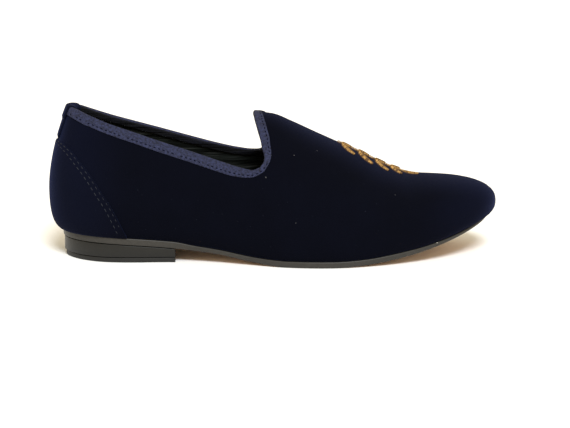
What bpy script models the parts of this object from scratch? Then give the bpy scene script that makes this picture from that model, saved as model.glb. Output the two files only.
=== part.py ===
"""A right-foot velvet slipper loafer: velvet upper with a bound topline, counter, heel tab,
insole, thin outsole and a low stacked heel.

Lengths are in millimetres and become metres where a mesh is made. Stations run along X from the
back of the heel to the toe, Y is positive on the inner (medial) side, and Z is up from the floor.
"""

import bmesh
import bpy
import numpy as np
from mathutils import Vector

MILLIMETRE = 0.001

# Driving sizes.
LENGTH = 293.6
HEEL_BREAST = 84.5
TOP_PIECE_HEIGHT = 3.3
WALL = 2.0
GAP = 0.3
HEEL_BACK = 12.0
MARGIN_RUN = 25.0
SOLE_MARGINS = (0.0, 1.0)
BLOCK_MARGINS = (-0.7, 0.6)
TOP_PIECE_MARGINS = (-1.7, 0.0)
EDGE_LIFT = 0.6
INSOLE_THICKNESS = 3.0
BINDING_WIDTH = 6.1
CORNER_PINCH = 2.6
CORNER_REACH = 11.0
REAR_PINCH = 1.4
REAR_REACH = 22.0
THROAT_PINCH = 0.9
THROAT_LEAD = 2.0
THROAT_RUN = 8.0
RIDGE_PINCH = 0.6
RIDGE_REACH = 9.0
BINDING_INNER_SHARE = 0.6
BINDING_THICKNESS = 0.5
COUNTER_THICKNESS = 0.8
COUNTER_FRONT = (47.5, 49.3, 50.9, 52.2, 53.4)
COUNTER_START = 1.5
COUNTER_ROWS = 17
TAB_HALF_WIDTH = 9.0
TAB_MIDDLE = 2.0
TAB_SLACK = 1.2
TAB_THICKNESS = 0.8
TAB_BOTTOM = 77.0
TAB_INNER_DROP = 12.0

# The fans of the last: sections turn about an upright line here, at the heel and at the toe.
HEEL_CENTRE = 30.0
TOE_CENTRE = 262.0
THROAT_CORNER = {-1: 139.2, 1: 142.5}
THROAT_PEAK = 136.0

# How finely the upper is divided.
HEEL_FAN_STEPS = 9
SIDE_STATIONS = (35.5, 42.0, 49.5, 59.0, 70.0, 82.0, 94.0, 105.0, 116.0, 127.0)
CORNER_STEPS = (-7.5, -4.5, -2.0, -0.5, 0.0)
THROAT_SHARES = (0.045, 0.1, 0.17, 0.26, 0.36, 0.47, 0.58, 0.69, 0.8, 0.9, 1.0)
BULGE_ROWS = 4
WALL_ROWS = 13
DENSE = 72

# The feather line in plan: station and distance from the centre line, once round from the toe.
FEATHER_OUTLINE = (
    # station, side
    (288.2, 4.5),
    (286.4, -4.5),
    (281.8, -13.0),
    (274.0, -21.3),
    (262.5, -29.2),
    (247.0, -36.6),
    (229.0, -43.0),
    (208.0, -48.2),
    (185.0, -51.0),
    (160.0, -49.0),
    (135.0, -42.5),
    (110.0, -35.5),
    (85.0, -31.0),
    (60.0, -31.0),
    (38.0, -28.5),
    (21.0, -19.2),
    (11.3, 0.0),
    (21.0, 19.2),
    (38.0, 28.0),
    (60.0, 30.0),
    (85.0, 28.0),
    (110.0, 26.5),
    (135.0, 31.0),
    (160.0, 39.0),
    (185.0, 44.5),
    (208.0, 46.2),
    (229.0, 43.8),
    (247.0, 39.6),
    (262.5, 34.2),
    (274.0, 28.0),
    (281.8, 21.0),
    (286.4, 13.2),
)

# The sole along the shoe: height of its underside over the floor, and its thickness.
SOLE_PROFILE = (
    # station, underside, thickness
    (8.0, 13.2, 4.2),
    (35.0, 12.6, 4.2),
    (60.0, 11.2, 4.3),
    (83.0, 9.3, 4.3),
    (97.0, 8.0, 3.2),
    (112.0, 6.3, 3.0),
    (130.0, 3.2, 3.1),
    (146.0, 0.8, 3.7),
    (156.0, 0.0, 4.0),
    (184.0, 0.0, 4.0),
    (205.0, 1.3, 3.6),
    (225.0, 4.0, 3.5),
    (245.0, 8.1, 2.9),
    (262.0, 13.0, 2.5),
    (276.0, 18.0, 2.1),
    (289.0, 23.0, 1.6),
)

# The last along the shoe: how far it bulges past the feather line, how high the widest line lies
# over the floor, the ridge (over the collar, where the last would close) and how full the section
# is at its side and at its top, from 0 (a straight roof) to 1 (a square box).
LAST_PROFILE = (
    # station, bulge, widest_height, ridge_height, side_fullness, top_fullness
    (0.0, 8.9, 43.0, 122.0, 0.43, 0.16),
    (16.0, 7.2, 42.2, 120.0, 0.42, 0.15),
    (30.0, 5.7, 40.6, 118.0, 0.40, 0.14),
    (42.0, 4.9, 38.8, 114.5, 0.41, 0.16),
    (58.0, 4.6, 36.0, 107.0, 0.43, 0.32),
    (78.0, 4.5, 32.5, 102.0, 0.45, 0.42),
    (98.0, 4.6, 29.2, 97.4, 0.43, 0.41),
    (118.0, 4.6, 25.8, 94.2, 0.39, 0.46),
    (136.0, 4.5, 23.5, 92.7, 0.37, 0.55),
    (148.0, 4.3, 22.5, 91.3, 0.38, 0.59),
    (160.0, 4.1, 21.8, 86.3, 0.40, 0.60),
    (175.0, 3.9, 21.2, 79.1, 0.43, 0.60),
    (191.0, 3.8, 21.0, 71.6, 0.45, 0.60),
    (207.0, 3.8, 21.2, 63.9, 0.46, 0.60),
    (223.0, 3.9, 22.0, 55.9, 0.49, 0.60),
    (240.0, 4.2, 24.0, 50.3, 0.51, 0.61),
    (255.0, 4.9, 26.6, 49.3, 0.56, 0.64),
    (270.0, 5.7, 29.6, 48.1, 0.59, 0.67),
    (293.0, 6.7, 33.0, 45.4, 0.61, 0.69),
)

# The top edge of the wall from each side, from the back of the heel to the throat corner.
TOPLINE = (
    # station, outer_side_height, inner_side_height
    (8.0, 97.2, 97.2),
    (15.0, 97.0, 97.0),
    (20.0, 96.3, 96.0),
    (30.0, 92.7, 92.1),
    (42.0, 88.0, 87.8),
    (58.0, 82.8, 82.9),
    (78.0, 76.2, 77.2),
    (98.0, 69.9, 71.8),
    (116.0, 64.4, 66.9),
    (128.0, 61.2, 63.9),
    (134.0, 60.4, 62.9),
    (139.0, 62.2, 62.6),
    (144.0, 64.0, 64.2),
)

# The throat in plan, from the corner of the collar up to the ridge.
THROAT_LINE = (
    # share_of_the_way_to_the_ridge, outer_side_station, inner_side_station
    (0.0, 139.2, 142.5),
    (0.04, 141.9, 144.0),
    (0.08, 142.4, 144.8),
    (0.14, 142.0, 145.1),
    (0.2, 141.0, 145.2),
    (0.3, 140.2, 144.4),
    (0.45, 138.6, 142.6),
    (0.75, 136.7, 138.3),
    (0.92, 136.3, 136.6),
    (1.0, 136.2, 136.2),
)

# The stitched top edge of the counter from the side.
COUNTER_LINE = (
    # station, height
    (0.0, 76.4),
    (7.0, 76.1),
    (12.8, 75.0),
    (19.0, 71.0),
    (25.6, 63.8),
    (31.8, 56.2),
    (38.9, 45.4),
    (44.5, 36.6),
    (49.6, 26.2),
    (53.0, 18.6),
    (55.0, 14.0),
)

# Finish of each piece: colour (linear), roughness and metallic value.
FINISHES = {
    "upper": ((0.006, 0.008, 0.028), 0.9, 0.0),
    "topline_binding": ((0.045, 0.055, 0.16), 0.7, 0.0),
    "heel_counter": ((0.008, 0.010, 0.034), 0.9, 0.0),
    "heel_tab": ((0.008, 0.010, 0.034), 0.9, 0.0),
    "insole": ((0.012, 0.012, 0.010), 0.6, 0.0),
    "outsole": ((0.10, 0.095, 0.085), 0.45, 0.0),
    "heel_block": ((0.08, 0.075, 0.068), 0.45, 0.0),
    "heel_top_piece": ((0.06, 0.058, 0.055), 0.5, 0.0),
}


def column(table, index):
    return np.array([row[index] for row in table], float)


def monotone(table, index):
    """A smooth curve through one column of a table over its first column, with no overshoot."""
    x, y = column(table, 0), column(table, index)
    step = np.diff(x)
    slope = np.diff(y) / step
    tangent = np.zeros(len(x))
    tangent[0], tangent[-1] = slope[0], slope[-1]
    for i in range(1, len(x) - 1):
        if slope[i - 1] * slope[i] > 0:
            before, after = 2 * step[i] + step[i - 1], step[i] + 2 * step[i - 1]
            tangent[i] = (before + after) / (before / slope[i - 1] + after / slope[i])

    def value(at):
        at = np.clip(np.asarray(at, float), x[0], x[-1])
        i = np.clip(np.searchsorted(x, at) - 1, 0, len(step) - 1)
        t = (at - x[i]) / step[i]
        rise = 3 * t**2 - 2 * t**3
        return (
            y[i] * (1 - rise)
            + y[i + 1] * rise
            + step[i] * (tangent[i] * t * (1 - t) ** 2 - tangent[i + 1] * t**2 * (1 - t))
        )

    return value


def closed_spline(points, samples_each):
    """A closed curve with smooth curvature through the points, sampled evenly in each stretch."""
    points = np.asarray(points, float)
    n = len(points)
    after = np.roll(points, -1, 0)
    step = np.linalg.norm(after - points, axis=1)
    system = np.zeros((n, n))
    right = np.zeros((n, 2))
    for i in range(n):
        before = (i - 1) % n
        system[i, before] += step[before]
        system[i, i] += 2 * (step[before] + step[i])
        system[i, (i + 1) % n] += step[i]
        leaving, arriving = (after[i] - points[i]) / step[i], (points[i] - points[before]) / step[before]
        right[i] = 6 * (leaving - arriving)
    bend = np.linalg.solve(system, right)
    dense = []
    for i in range(n):
        j, h = (i + 1) % n, step[i]
        for t in np.arange(samples_each) / samples_each:
            a, b = 1 - t, t
            cubic = ((a**3 - a) * bend[i] + (b**3 - b) * bend[j]) * h * h / 6
            dense.append(a * points[i] + b * points[j] + cubic)
    return np.array(dense)


under_sole = monotone(SOLE_PROFILE, 1)
sole_thickness = monotone(SOLE_PROFILE, 2)
bulge_at = monotone(LAST_PROFILE, 1)
widest_height = monotone(LAST_PROFILE, 2)
ridge_height = monotone(LAST_PROFILE, 3)
side_fullness = monotone(LAST_PROFILE, 4)
top_fullness = monotone(LAST_PROFILE, 5)
topline_heights = {-1: monotone(TOPLINE, 1), 1: monotone(TOPLINE, 2)}
throat_stations = {-1: monotone(THROAT_LINE, 1), 1: monotone(THROAT_LINE, 2)}
counter_height = monotone(COUNTER_LINE, 1)


def sole_top(station):
    return under_sole(station) + sole_thickness(station)


def ridge_side(station):
    """The ridge runs straight from the throat towards the tip of the toe."""
    tip = FEATHER_OUTLINE[0][1]
    share = (np.asarray(station, float) - THROAT_PEAK) / (LENGTH - THROAT_PEAK)
    return tip * np.clip(share, 0, None)


def offset_outline(outline, distance):
    """The outline moved outwards by a distance, which may change along it."""
    ahead = np.roll(outline, -1, 0) - np.roll(outline, 1, 0)
    ahead /= np.linalg.norm(ahead, axis=1)[:, None]
    # The outline runs from the toe along the outer side, so outwards is to its left.
    outwards = np.stack([ahead[:, 1], -ahead[:, 0]], 1) * -1
    centre = outline.mean(0)
    if ((outline - centre) * outwards).sum() < 0:
        outwards = -outwards
    return outline + outwards * np.reshape(distance, (-1, 1))


FEATHER = closed_spline(FEATHER_OUTLINE, 16)
WIDEST = offset_outline(FEATHER, bulge_at(FEATHER[:, 0]))
HEEL_INDEX = int(np.argmin(FEATHER[:, 0]))


def with_margin(margins):
    """The feather line moved out by one margin at the back of the heel and another further on."""
    back, ahead = margins
    share = np.clip((FEATHER[:, 0] - HEEL_BACK) / MARGIN_RUN, 0, 1)
    return offset_outline(FEATHER, back + (ahead - back) * share)


def half_of(outline, side):
    """One side of an outline, from the toe to the back of the heel."""
    if side < 0:
        return outline[: HEEL_INDEX + 1]
    return np.vstack([outline[:1], outline[:HEEL_INDEX - 1:-1]])


def half_width(outline, side, station):
    """How far one side of an outline lies from the centre line at a station."""
    half = half_of(outline, side)[::-1]
    return np.interp(station, half[:, 0], half[:, 1])


def at_index(outline, side, position):
    half = half_of(outline, side)
    steps = np.arange(len(half))
    return np.array([np.interp(position, steps, half[:, 0]), np.interp(position, steps, half[:, 1])])


def index_at_station(side, station):
    half = half_of(WIDEST, side)[::-1]
    return np.interp(station, half[:, 0], np.arange(len(half))[::-1])


def index_at_heel_angle(side, angle):
    """Where a ray from the heel centre meets the widest line. The angle is 0 straight back."""
    half = half_of(WIDEST, side)
    rear = np.nonzero(half[:, 0] < HEEL_CENTRE + 15)[0]
    angles = np.arctan2(np.abs(half[rear, 1]), HEEL_CENTRE - half[rear, 0])
    return np.interp(angle, angles[::-1], rear[::-1].astype(float))


def bezier(points, t):
    t = np.asarray(t, float)[:, None]
    a, b, c, d = (np.asarray(p, float) for p in points)
    return a * (1 - t) ** 3 + 3 * b * (1 - t) ** 2 * t + 3 * c * (1 - t) * t**2 + d * t**3


def toe_radius(side, angle):
    """The distance from the toe centre to the widest line. The angle is 0 straight ahead."""
    half = half_of(WIDEST, side)
    front = half[half[:, 0] > TOE_CENTRE - 12]
    away = front - [TOE_CENTRE, ridge_side(TOE_CENTRE)]
    angles = np.arctan2(side * away[:, 1], away[:, 0])
    order = np.argsort(angles)
    return np.interp(angle, angles[order], np.linalg.norm(away, axis=1)[order])


RIDGE_SLOPE_AT_TOE = float(ridge_height(TOE_CENTRE + 1) - ridge_height(TOE_CENTRE - 1)) / 2


def last_top(station, side_distance):
    """The height of the last over a point of the plan, between the widest line and the ridge."""
    foot = min(max(station, HEEL_CENTRE), TOE_CENTRE)
    away = np.array([station - foot, side_distance - ridge_side(foot)])
    side = 1.0 if away[1] > 0 else -1.0
    table_station, lean = foot, 0.0
    if station > TOE_CENTRE:
        angle = np.arctan2(side * away[1], away[0])
        reach = toe_radius(side, angle)
        lean = np.cos(angle)
        wide_station = foot + reach * lean
    elif station < HEEL_CENTRE:
        angle = np.arctan2(abs(away[1]), -away[0])
        wide = at_index(WIDEST, side, index_at_heel_angle(side, angle))
        reach = np.hypot(wide[0] - foot, wide[1])
        table_station = wide_station = wide[0]
    else:
        reach = abs(half_width(WIDEST, side, station) - ridge_side(foot))
        wide_station = station
    share = min(1.0, np.hypot(*away) / reach)
    full = float(top_fullness(table_station))
    low, high = 0.0, 1.0
    for _ in range(30):
        t = (low + high) / 2
        reached = (1 - t) ** 3 + 3 * (1 - t) ** 2 * t + 3 * full * (1 - t) * t**2
        low, high = (t, high) if reached > share else (low, t)
    widest, top = float(widest_height(wide_station)), float(ridge_height(table_station))
    shoulder = widest + float(side_fullness(table_station)) * (top - widest)
    under_ridge = top + RIDGE_SLOPE_AT_TOE * lean * full * reach
    return (
        widest * (1 - t) ** 3
        + 3 * shoulder * (1 - t) ** 2 * t
        + 3 * under_ridge * (1 - t) * t**2
        + top * t**3
    )


def lower_wall(side, position, samples):
    """From the feather line out and up to the widest line."""
    foot, wide = at_index(FEATHER, side, position), at_index(WIDEST, side, position)
    low = float(sole_top(foot[0])) + GAP
    high = float(widest_height(wide[0]))
    rise, out = high - low, wide - foot
    start = np.array([*foot, low])
    first = np.array([*(foot + 0.72 * out), low + 0.08 * rise])
    second = np.array([*wide, high - 0.6 * rise])
    return bezier((start, first, second, (*wide, high)), samples)


def quarter_wall(side, position, samples):
    """From the widest line up a section of the last, as far as the closed top of the last."""
    wide = at_index(WIDEST, side, position)
    station = float(wide[0])
    foot = np.array([max(station, HEEL_CENTRE), 0.0])
    high, top = float(widest_height(station)), float(ridge_height(station))
    shoulder = high + float(side_fullness(station)) * (top - high)
    inner = foot + float(top_fullness(station)) * (wide - foot)
    return bezier(((*wide, high), (*wide, shoulder), (*inner, top), (*foot, top)), samples)


def cut_at(path, excess):
    """The part of a path before the value of excess becomes positive, ended exactly there."""
    over = np.nonzero(excess > 0)[0]
    if not len(over):
        return path
    last = over[0]
    share = excess[last - 1] / (excess[last - 1] - excess[last])
    end = path[last - 1] + share * (path[last] - path[last - 1])
    return np.vstack([path[:last], end])


def quarter_section(side, position):
    """A section of the quarter from its widest line to the topline."""
    path = quarter_wall(side, position, np.linspace(0, 1, 4 * DENSE))
    return cut_at(path, path[:, 2] - topline_heights[side](path[:, 0]))


def throat_point(side, share):
    """A point of the throat: share is 0 at the collar's corner and 1 on the ridge."""
    corner = quarter_section(side, index_at_station(side, THROAT_CORNER[side]))[-1]
    station = float(throat_stations[side](share))
    ridge = float(ridge_side(station))
    across = ridge + (corner[1] - ridge) * (1 - share)
    return np.array([station, across, last_top(station, across)])


def spread(path, shares):
    """Points at these shares of a path's length."""
    length = np.concatenate([[0], np.cumsum(np.linalg.norm(np.diff(path, axis=0), axis=1))])
    at = np.asarray(shares) * length[-1]
    return np.column_stack([np.interp(at, length, path[:, i]) for i in range(3)])


def quarter_positions(side):
    """Where the quarter's columns stand on the widest line, from the back to the throat corner."""
    fan = [index_at_heel_angle(side, a) for a in np.linspace(0, np.pi / 2, HEEL_FAN_STEPS + 1)]
    return fan + [index_at_station(side, station) for station in SIDE_STATIONS]


def top_edge(side):
    """The wall's top edge on one side, a point a column, from the back of the heel to the ridge."""
    quarter = [quarter_section(side, position)[-1] for position in quarter_positions(side)]
    stations = [THROAT_CORNER[side] + step for step in CORNER_STEPS]
    corner = [quarter_section(side, index_at_station(side, s))[-1] for s in stations]
    throat = [throat_point(side, share) for share in THROAT_SHARES]
    return np.array(quarter + corner + throat)


def column_feet(side, count):
    """Where each column starts on the widest line: past the quarter they spread on to the toe."""
    quarter = quarter_positions(side)
    half = half_of(WIDEST, side)
    run = np.concatenate([[0], np.cumsum(np.linalg.norm(np.diff(half, axis=0), axis=1))])
    last_run = np.interp(quarter[-1], np.arange(len(half)), run)
    ahead = np.arange(1, count - len(quarter) + 1) / (count - len(quarter))
    return quarter + list(np.interp(last_run * (1 - ahead), run, np.arange(len(half))))


def under_binding(side, edge):
    """The binding's lower edge: the top edge moved down the last, square to itself."""
    mirror = edge[-2] * [1, 0, 1] + [0, 2 * ridge_side(edge[-1][0]) - edge[-2][1], 0]
    behind = edge[1] * [1, -1, 1]
    path = np.vstack([behind, edge, mirror])
    corner = len(edge) - len(THROAT_SHARES) - 1
    from_corner = np.linalg.norm(edge - edge[corner], axis=1)
    from_rear = np.linalg.norm(edge - edge[0], axis=1)
    past_corner = from_corner * np.where(np.arange(len(edge)) > corner, 1, -1)
    share = np.clip((past_corner + THROAT_LEAD) / THROAT_RUN, 0, 1)
    widths = BINDING_WIDTH - CORNER_PINCH * np.exp(-((from_corner / CORNER_REACH) ** 2))
    widths -= REAR_PINCH * np.exp(-((from_rear / REAR_REACH) ** 2))
    widths -= THROAT_PINCH * share**2 * (3 - 2 * share)
    from_ridge = np.linalg.norm(edge - edge[-1], axis=1)
    widths -= RIDGE_PINCH * np.exp(-((from_ridge / RIDGE_REACH) ** 2))
    lower = []
    for before, at, after, width in zip(path, edge, path[2:], widths):
        step = 1.5
        slopes = [
            last_top(at[0] + step, at[1]) - last_top(at[0] - step, at[1]),
            last_top(at[0], at[1] + side * step) - last_top(at[0], at[1] - side * step),
        ]
        normal = np.array([-slopes[0] / (2 * step), -side * slopes[1] / (2 * step), 1.0])
        down = np.cross(normal, after - before) * side
        down /= np.linalg.norm(down)
        point = at + width * down
        point[2] = last_top(point[0], point[1])
        lower.append(point)
    return np.array(lower)


def panel_path(side, foot_position, target):
    """A path on the last from the widest line to a point, straight in plan."""
    wide = at_index(WIDEST, side, foot_position)
    along_plan = 1 - np.cos(np.linspace(0, np.pi / 2, DENSE))
    plan = wide + (target[:2] - wide) * along_plan[:, None]
    heights = [last_top(*point) for point in plan]
    heights[0] = float(widest_height(wide[0]))
    return np.column_stack([plan, heights])


def half_columns(side):
    """The columns of one side's outer surface, from the back of the heel round to the toe."""
    edge = top_edge(side)
    lower_edge = under_binding(side, edge)
    bulge = np.linspace(0, 1, BULGE_ROWS + 1)
    columns = []
    for position, low, top in zip(column_feet(side, len(edge)), lower_edge, edge):
        path = panel_path(side, position, low)
        length = np.linalg.norm(np.diff(path, axis=0), axis=1).sum()
        crowding = 1.0 + 0.6 * np.clip((length - 60) / 140, 0, 1)
        shares = (np.arange(1, WALL_ROWS) / (WALL_ROWS - 1)) ** crowding
        columns.append(np.vstack([lower_wall(side, position, bulge), spread(path, shares), top]))
    return columns


def outer_grid():
    """The upper's outer surface, columns once round and rows from the feather to the topline."""
    outer, inner = half_columns(-1), half_columns(1)
    centre_back, centre_front = outer[0], outer[-1]
    return np.array([centre_back, *outer[1:-1], centre_front, *inner[-2:0:-1]])


def grid_normals(grid):
    """Outward directions of a grid that is closed round its columns."""
    around = np.roll(grid, -1, 0) - np.roll(grid, 1, 0)
    up = np.gradient(grid, axis=1)
    normal = np.cross(around, up)
    normal /= np.linalg.norm(normal, axis=2)[:, :, None]
    middle = grid.mean((0, 1))
    if ((grid - middle) * normal).sum() < 0:
        normal = -normal
    return normal


def make_object(name, points, faces):
    """An object with this mesh, smooth where its faces meet at a low angle."""
    mesh = bpy.data.meshes.new(name)
    mesh.from_pydata([Vector(p) * MILLIMETRE for p in points], [], faces)
    mesh.validate()
    obj = bpy.data.objects.new(name, mesh)
    bpy.context.scene.collection.objects.link(obj)
    recalculate_outwards(mesh)
    mesh.shade_smooth()
    mesh.set_sharp_from_angle(angle=np.radians(40))
    mesh.materials.append(finish_of(name))
    return obj


def recalculate_outwards(mesh):
    """Turns every face outwards."""
    shape = bmesh.new()
    shape.from_mesh(mesh)
    bmesh.ops.recalc_face_normals(shape, faces=shape.faces)
    if shape.calc_volume(signed=True) < 0:
        bmesh.ops.reverse_faces(shape, faces=shape.faces)
    shape.to_mesh(mesh)
    shape.free()


def finish_of(name):
    colour, roughness, metallic = FINISHES[name]
    material = bpy.data.materials.new(name)
    material.use_nodes = True
    shader = material.node_tree.nodes["Principled BSDF"]
    shader.inputs["Base Color"].default_value = (*colour, 1.0)
    shader.inputs["Roughness"].default_value = roughness
    shader.inputs["Metallic"].default_value = metallic
    return material


def ring_solid(name, sections, closed):
    """A solid swept through sections of the same number of points, closed into a ring or capped."""
    count, width = len(sections), len(sections[0])
    points = [p for section in sections for p in section]
    faces = []
    for i in range(count if closed else count - 1):
        j = (i + 1) % count
        for k in range(width):
            n = (k + 1) % width
            faces.append((i * width + k, j * width + k, j * width + n, i * width + n))
    if not closed:
        faces.append(tuple(range(width)))
        faces.append(tuple((count - 1) * width + k for k in range(width)))
    return make_object(name, points, faces)


def build_upper(grid, normals):
    """One wall: the outer surface, the same surface moved in by the wall, and two rims."""
    inner = grid - normals * WALL
    flat = normals[:, 0] * [1, 1, 0]
    flat /= np.linalg.norm(flat, axis=1)[:, None]
    inner[:, 0] = grid[:, 0] - flat * WALL
    sections = np.concatenate([grid, inner[:, ::-1]], axis=1)
    return ring_solid("upper", sections, closed=True)


def edge_directions(grid):
    """The direction out of the wall's top edge, along the surface, for each column."""
    up = grid[:, -1] - grid[:, -2]
    return up / np.linalg.norm(up, axis=1)[:, None]


def build_binding(grid, normals):
    """Tape folded over the top edge: a U in section, its legs as deep as the tape is wide."""
    near, far = GAP, GAP + BINDING_THICKNESS
    out = edge_directions(grid)
    sections = []
    for column_points, column_normals, over in zip(grid, normals, out):
        top, low = column_points[-1], column_points[-2]
        top_normal, low_normal = column_normals[-1], column_normals[-2]
        inner_low = top + (low - top) * BINDING_INNER_SHARE
        top_inside, low_inside = top - top_normal * WALL, inner_low - low_normal * WALL
        sections.append(
            [
                low + low_normal * near,
                low + low_normal * far,
                top + top_normal * far,
                top + top_normal * far * 0.6 + over * far,
                top_inside - top_normal * far * 0.6 + over * far,
                top_inside - top_normal * far,
                low_inside - low_normal * far,
                low_inside - low_normal * near,
                top_inside - top_normal * near + over * near,
                top + top_normal * near + over * near,
            ]
        )
    return ring_solid("topline_binding", sections, closed=True)


def rear_frame(places):
    """Dense full sections with their outward directions at places: a side and a position each."""
    columns = []
    for side, position in places:
        lower = lower_wall(side, position, np.linspace(0, 1, DENSE // 2))
        column_points = np.vstack([lower, quarter_section(side, position)[1:]])
        columns.append(spread(column_points, np.linspace(0, 1, DENSE)))
    columns = np.array(columns)
    normals = np.cross(np.gradient(columns, axis=0), np.gradient(columns, axis=1))
    normals /= np.linalg.norm(normals, axis=2)[:, :, None]
    middle = np.array([HEEL_CENTRE, 0, 50.0])
    if ((columns - middle) * normals).sum() < 0:
        normals = -normals
    return columns, normals


def along(values, rows):
    """Values of a dense column between its rows."""
    steps = np.arange(len(values))
    return np.column_stack([np.interp(rows, steps, values[:, i]) for i in range(3)])


def across_rows(columns, values, y):
    """Values where an upright cut at a distance from the middle meets every row of the heel."""
    return np.array(
        [
            [np.interp(y, columns[:, row, 1], values[:, row, i]) for i in range(3)]
            for row in range(DENSE)
        ]
    )


def build_tab():
    """A velvet strip over the back of the collar: outside, over the binding and down inside."""
    angles = np.radians(np.linspace(-60, 60, 25))
    places = [(-1 if a < 0 else 1, index_at_heel_angle(-1 if a < 0 else 1, abs(a))) for a in angles]
    columns, normals = rear_frame(places)
    clear = 2 * GAP + BINDING_THICKNESS
    rows = np.arange(DENSE)
    sections = []
    for y in TAB_MIDDLE + np.linspace(-TAB_HALF_WIDTH, TAB_HALF_WIDTH, 9):
        points, facing = across_rows(columns, columns, y), across_rows(columns, normals, y)
        heights = points[:, 2]
        top = heights[-1]
        bound = top - BINDING_WIDTH
        levels = [TAB_BOTTOM, TAB_BOTTOM + 6, bound - 2.2, bound - 0.6, top - 2.5, top]
        at = np.interp(levels, heights, rows)
        outer, out = along(points, at), along(facing, at)
        lifts = np.array([GAP, GAP, GAP, clear, clear, clear])[:, None]
        up = points[-1] - points[-3]
        up /= np.linalg.norm(up)
        inner_rows = np.interp([top, top - 4, top - TAB_INNER_DROP], heights, rows)
        inward = along(facing, inner_rows)
        slack = np.array([TAB_SLACK, TAB_SLACK, 0])[:, None]
        inner = along(points, inner_rows) - inward * (WALL + slack)
        over = clear + TAB_THICKNESS
        crest = [outer[-1] + out[-1] * 0.5 * clear, inner[0] - inward[0] * 0.5 * clear]
        sections.append(
            [
                *(outer + out * (lifts + TAB_THICKNESS)),
                *(p + up * over for p in crest),
                *(inner - inward * over),
                *(inner - inward * clear)[::-1],
                *(p + up * clear for p in crest[::-1]),
                *(outer + out * lifts)[::-1],
            ]
        )
    return ring_solid("heel_tab", sections, closed=False)


def build_counter():
    """The panel over the back of the quarters, from the feather line to its stitched edge."""
    places = []
    for side in (-1, 1):
        quarter = quarter_positions(side)
        columns = [p for p in quarter if at_index(WIDEST, side, p)[0] < COUNTER_FRONT[0]]
        columns += [index_at_station(side, station) for station in COUNTER_FRONT]
        places.append([(side, p) for p in columns])
    points_of, normals_of = rear_frame([*places[0][::-1], *places[1][1:]])
    sections = []
    for points, facing in zip(points_of, normals_of):
        excess = points[:, 2] - counter_height(points[:, 0])
        end = np.interp(0.0, excess, np.arange(DENSE))
        height = max(end - COUNTER_START, 1.5)
        at = COUNTER_START + height * np.linspace(0, 1, COUNTER_ROWS) ** 1.4
        low, out = along(points, at), along(facing, at)
        sections.append([*(low + out * (GAP + COUNTER_THICKNESS)), *(low + out * GAP)[::-1]])
    return ring_solid("heel_counter", sections, closed=False)


def plate(name, stations, width_of, bands, top_of, bottom_of, flat_front=False):
    """A closed plate over cross lines: bands are shares of each half width, from edge to edge."""
    rings = []
    for station in stations:
        outer, inner = width_of(station, -1), width_of(station, 1)
        middle = (outer + inner) / 2
        reach = [inner - middle if band > 0 else middle - outer for band in bands]
        across = [middle + band * far for band, far in zip(bands, reach)]
        rings.append([(station, y, share) for y, share in zip(across, bands)])
    points, index = [], {}

    def vertex(key, place):
        if key not in index:
            index[key] = len(points)
            points.append(place)
        return index[key]

    last = len(stations) - 1
    n = len(bands)

    def corner(i, k, level):
        pointed = i == 0 or (i == last and not flat_front)
        station, y, share = rings[i][k]
        height = top_of(station, share) if level else bottom_of(station, share)
        if pointed:
            y = rings[i][n // 2][1]
            height = top_of(station, 0) if level else bottom_of(station, 0)
            return vertex((i, "tip", level), (station, y, height))
        return vertex((i, k, level), (station, y, height))

    faces = []

    def add(*places):
        corners = [corner(*place) for place in places]
        kept = [c for i, c in enumerate(corners) if c not in corners[:i]]
        if len(kept) > 2:
            faces.append(kept)

    for i in range(last):
        for k in range(n - 1):
            for level in (0, 1):
                add((i, k, level), (i + 1, k, level), (i + 1, k + 1, level), (i, k + 1, level))
        for k in (0, n - 1):
            add((i, k, 0), (i + 1, k, 0), (i + 1, k, 1), (i, k, 1))
    if flat_front:
        for k in range(n - 1):
            add((last, k, 0), (last, k + 1, 0), (last, k + 1, 1), (last, k, 1))
    return make_object(name, points, faces)


def rounded_stations(start, end, count, front_rounded=True):
    """Cross lines that crowd towards a rounded end."""
    t = np.linspace(0, 1, count)
    if front_rounded:
        crowded = (1 - np.cos(np.pi * t)) / 2
    else:
        crowded = 1 - np.cos(np.pi / 2 * t)
    return start + (end - start) * (0.75 * crowded + 0.25 * t)


def width_reader(outline):
    def width_of(station, side):
        return float(half_width(outline, side, station))

    return width_of


def build_outsole():
    """The thin sole: flat across the middle, its edges lifted a little in front of the heel."""
    outline = with_margin(SOLE_MARGINS)

    def bottom(station, share):
        lift = EDGE_LIFT * np.clip((station - HEEL_BREAST - 4) / 40, 0, 1)
        return float(under_sole(station)) + (lift if abs(share) > 0.7 else 0.0)

    def top(station, share):
        return float(sole_top(station))

    stations = rounded_stations(outline[:, 0].min(), outline[:, 0].max(), 45)
    bands = (-1.0, -0.6, 0.6, 1.0)
    return plate("outsole", stations, width_reader(outline), bands, top, bottom)


def build_heel():
    """The wedge under the heel seat and the flat piece below it."""
    block_outline = with_margin(BLOCK_MARGINS)
    piece_outline = with_margin(TOP_PIECE_MARGINS)
    stations = rounded_stations(block_outline[:, 0].min(), HEEL_BREAST, 22, front_rounded=False)
    block = plate(
        "heel_block",
        stations,
        width_reader(block_outline),
        (-1.0, 0.0, 1.0),
        lambda station, share: float(under_sole(station)) - GAP,
        lambda station, share: TOP_PIECE_HEIGHT + GAP,
        flat_front=True,
    )
    stations = rounded_stations(piece_outline[:, 0].min(), HEEL_BREAST, 22, front_rounded=False)
    piece = plate(
        "heel_top_piece",
        stations,
        width_reader(piece_outline),
        (-1.0, 0.0, 1.0),
        lambda station, share: TOP_PIECE_HEIGHT,
        lambda station, share: 0.0,
        flat_front=True,
    )
    return block, piece


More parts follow.
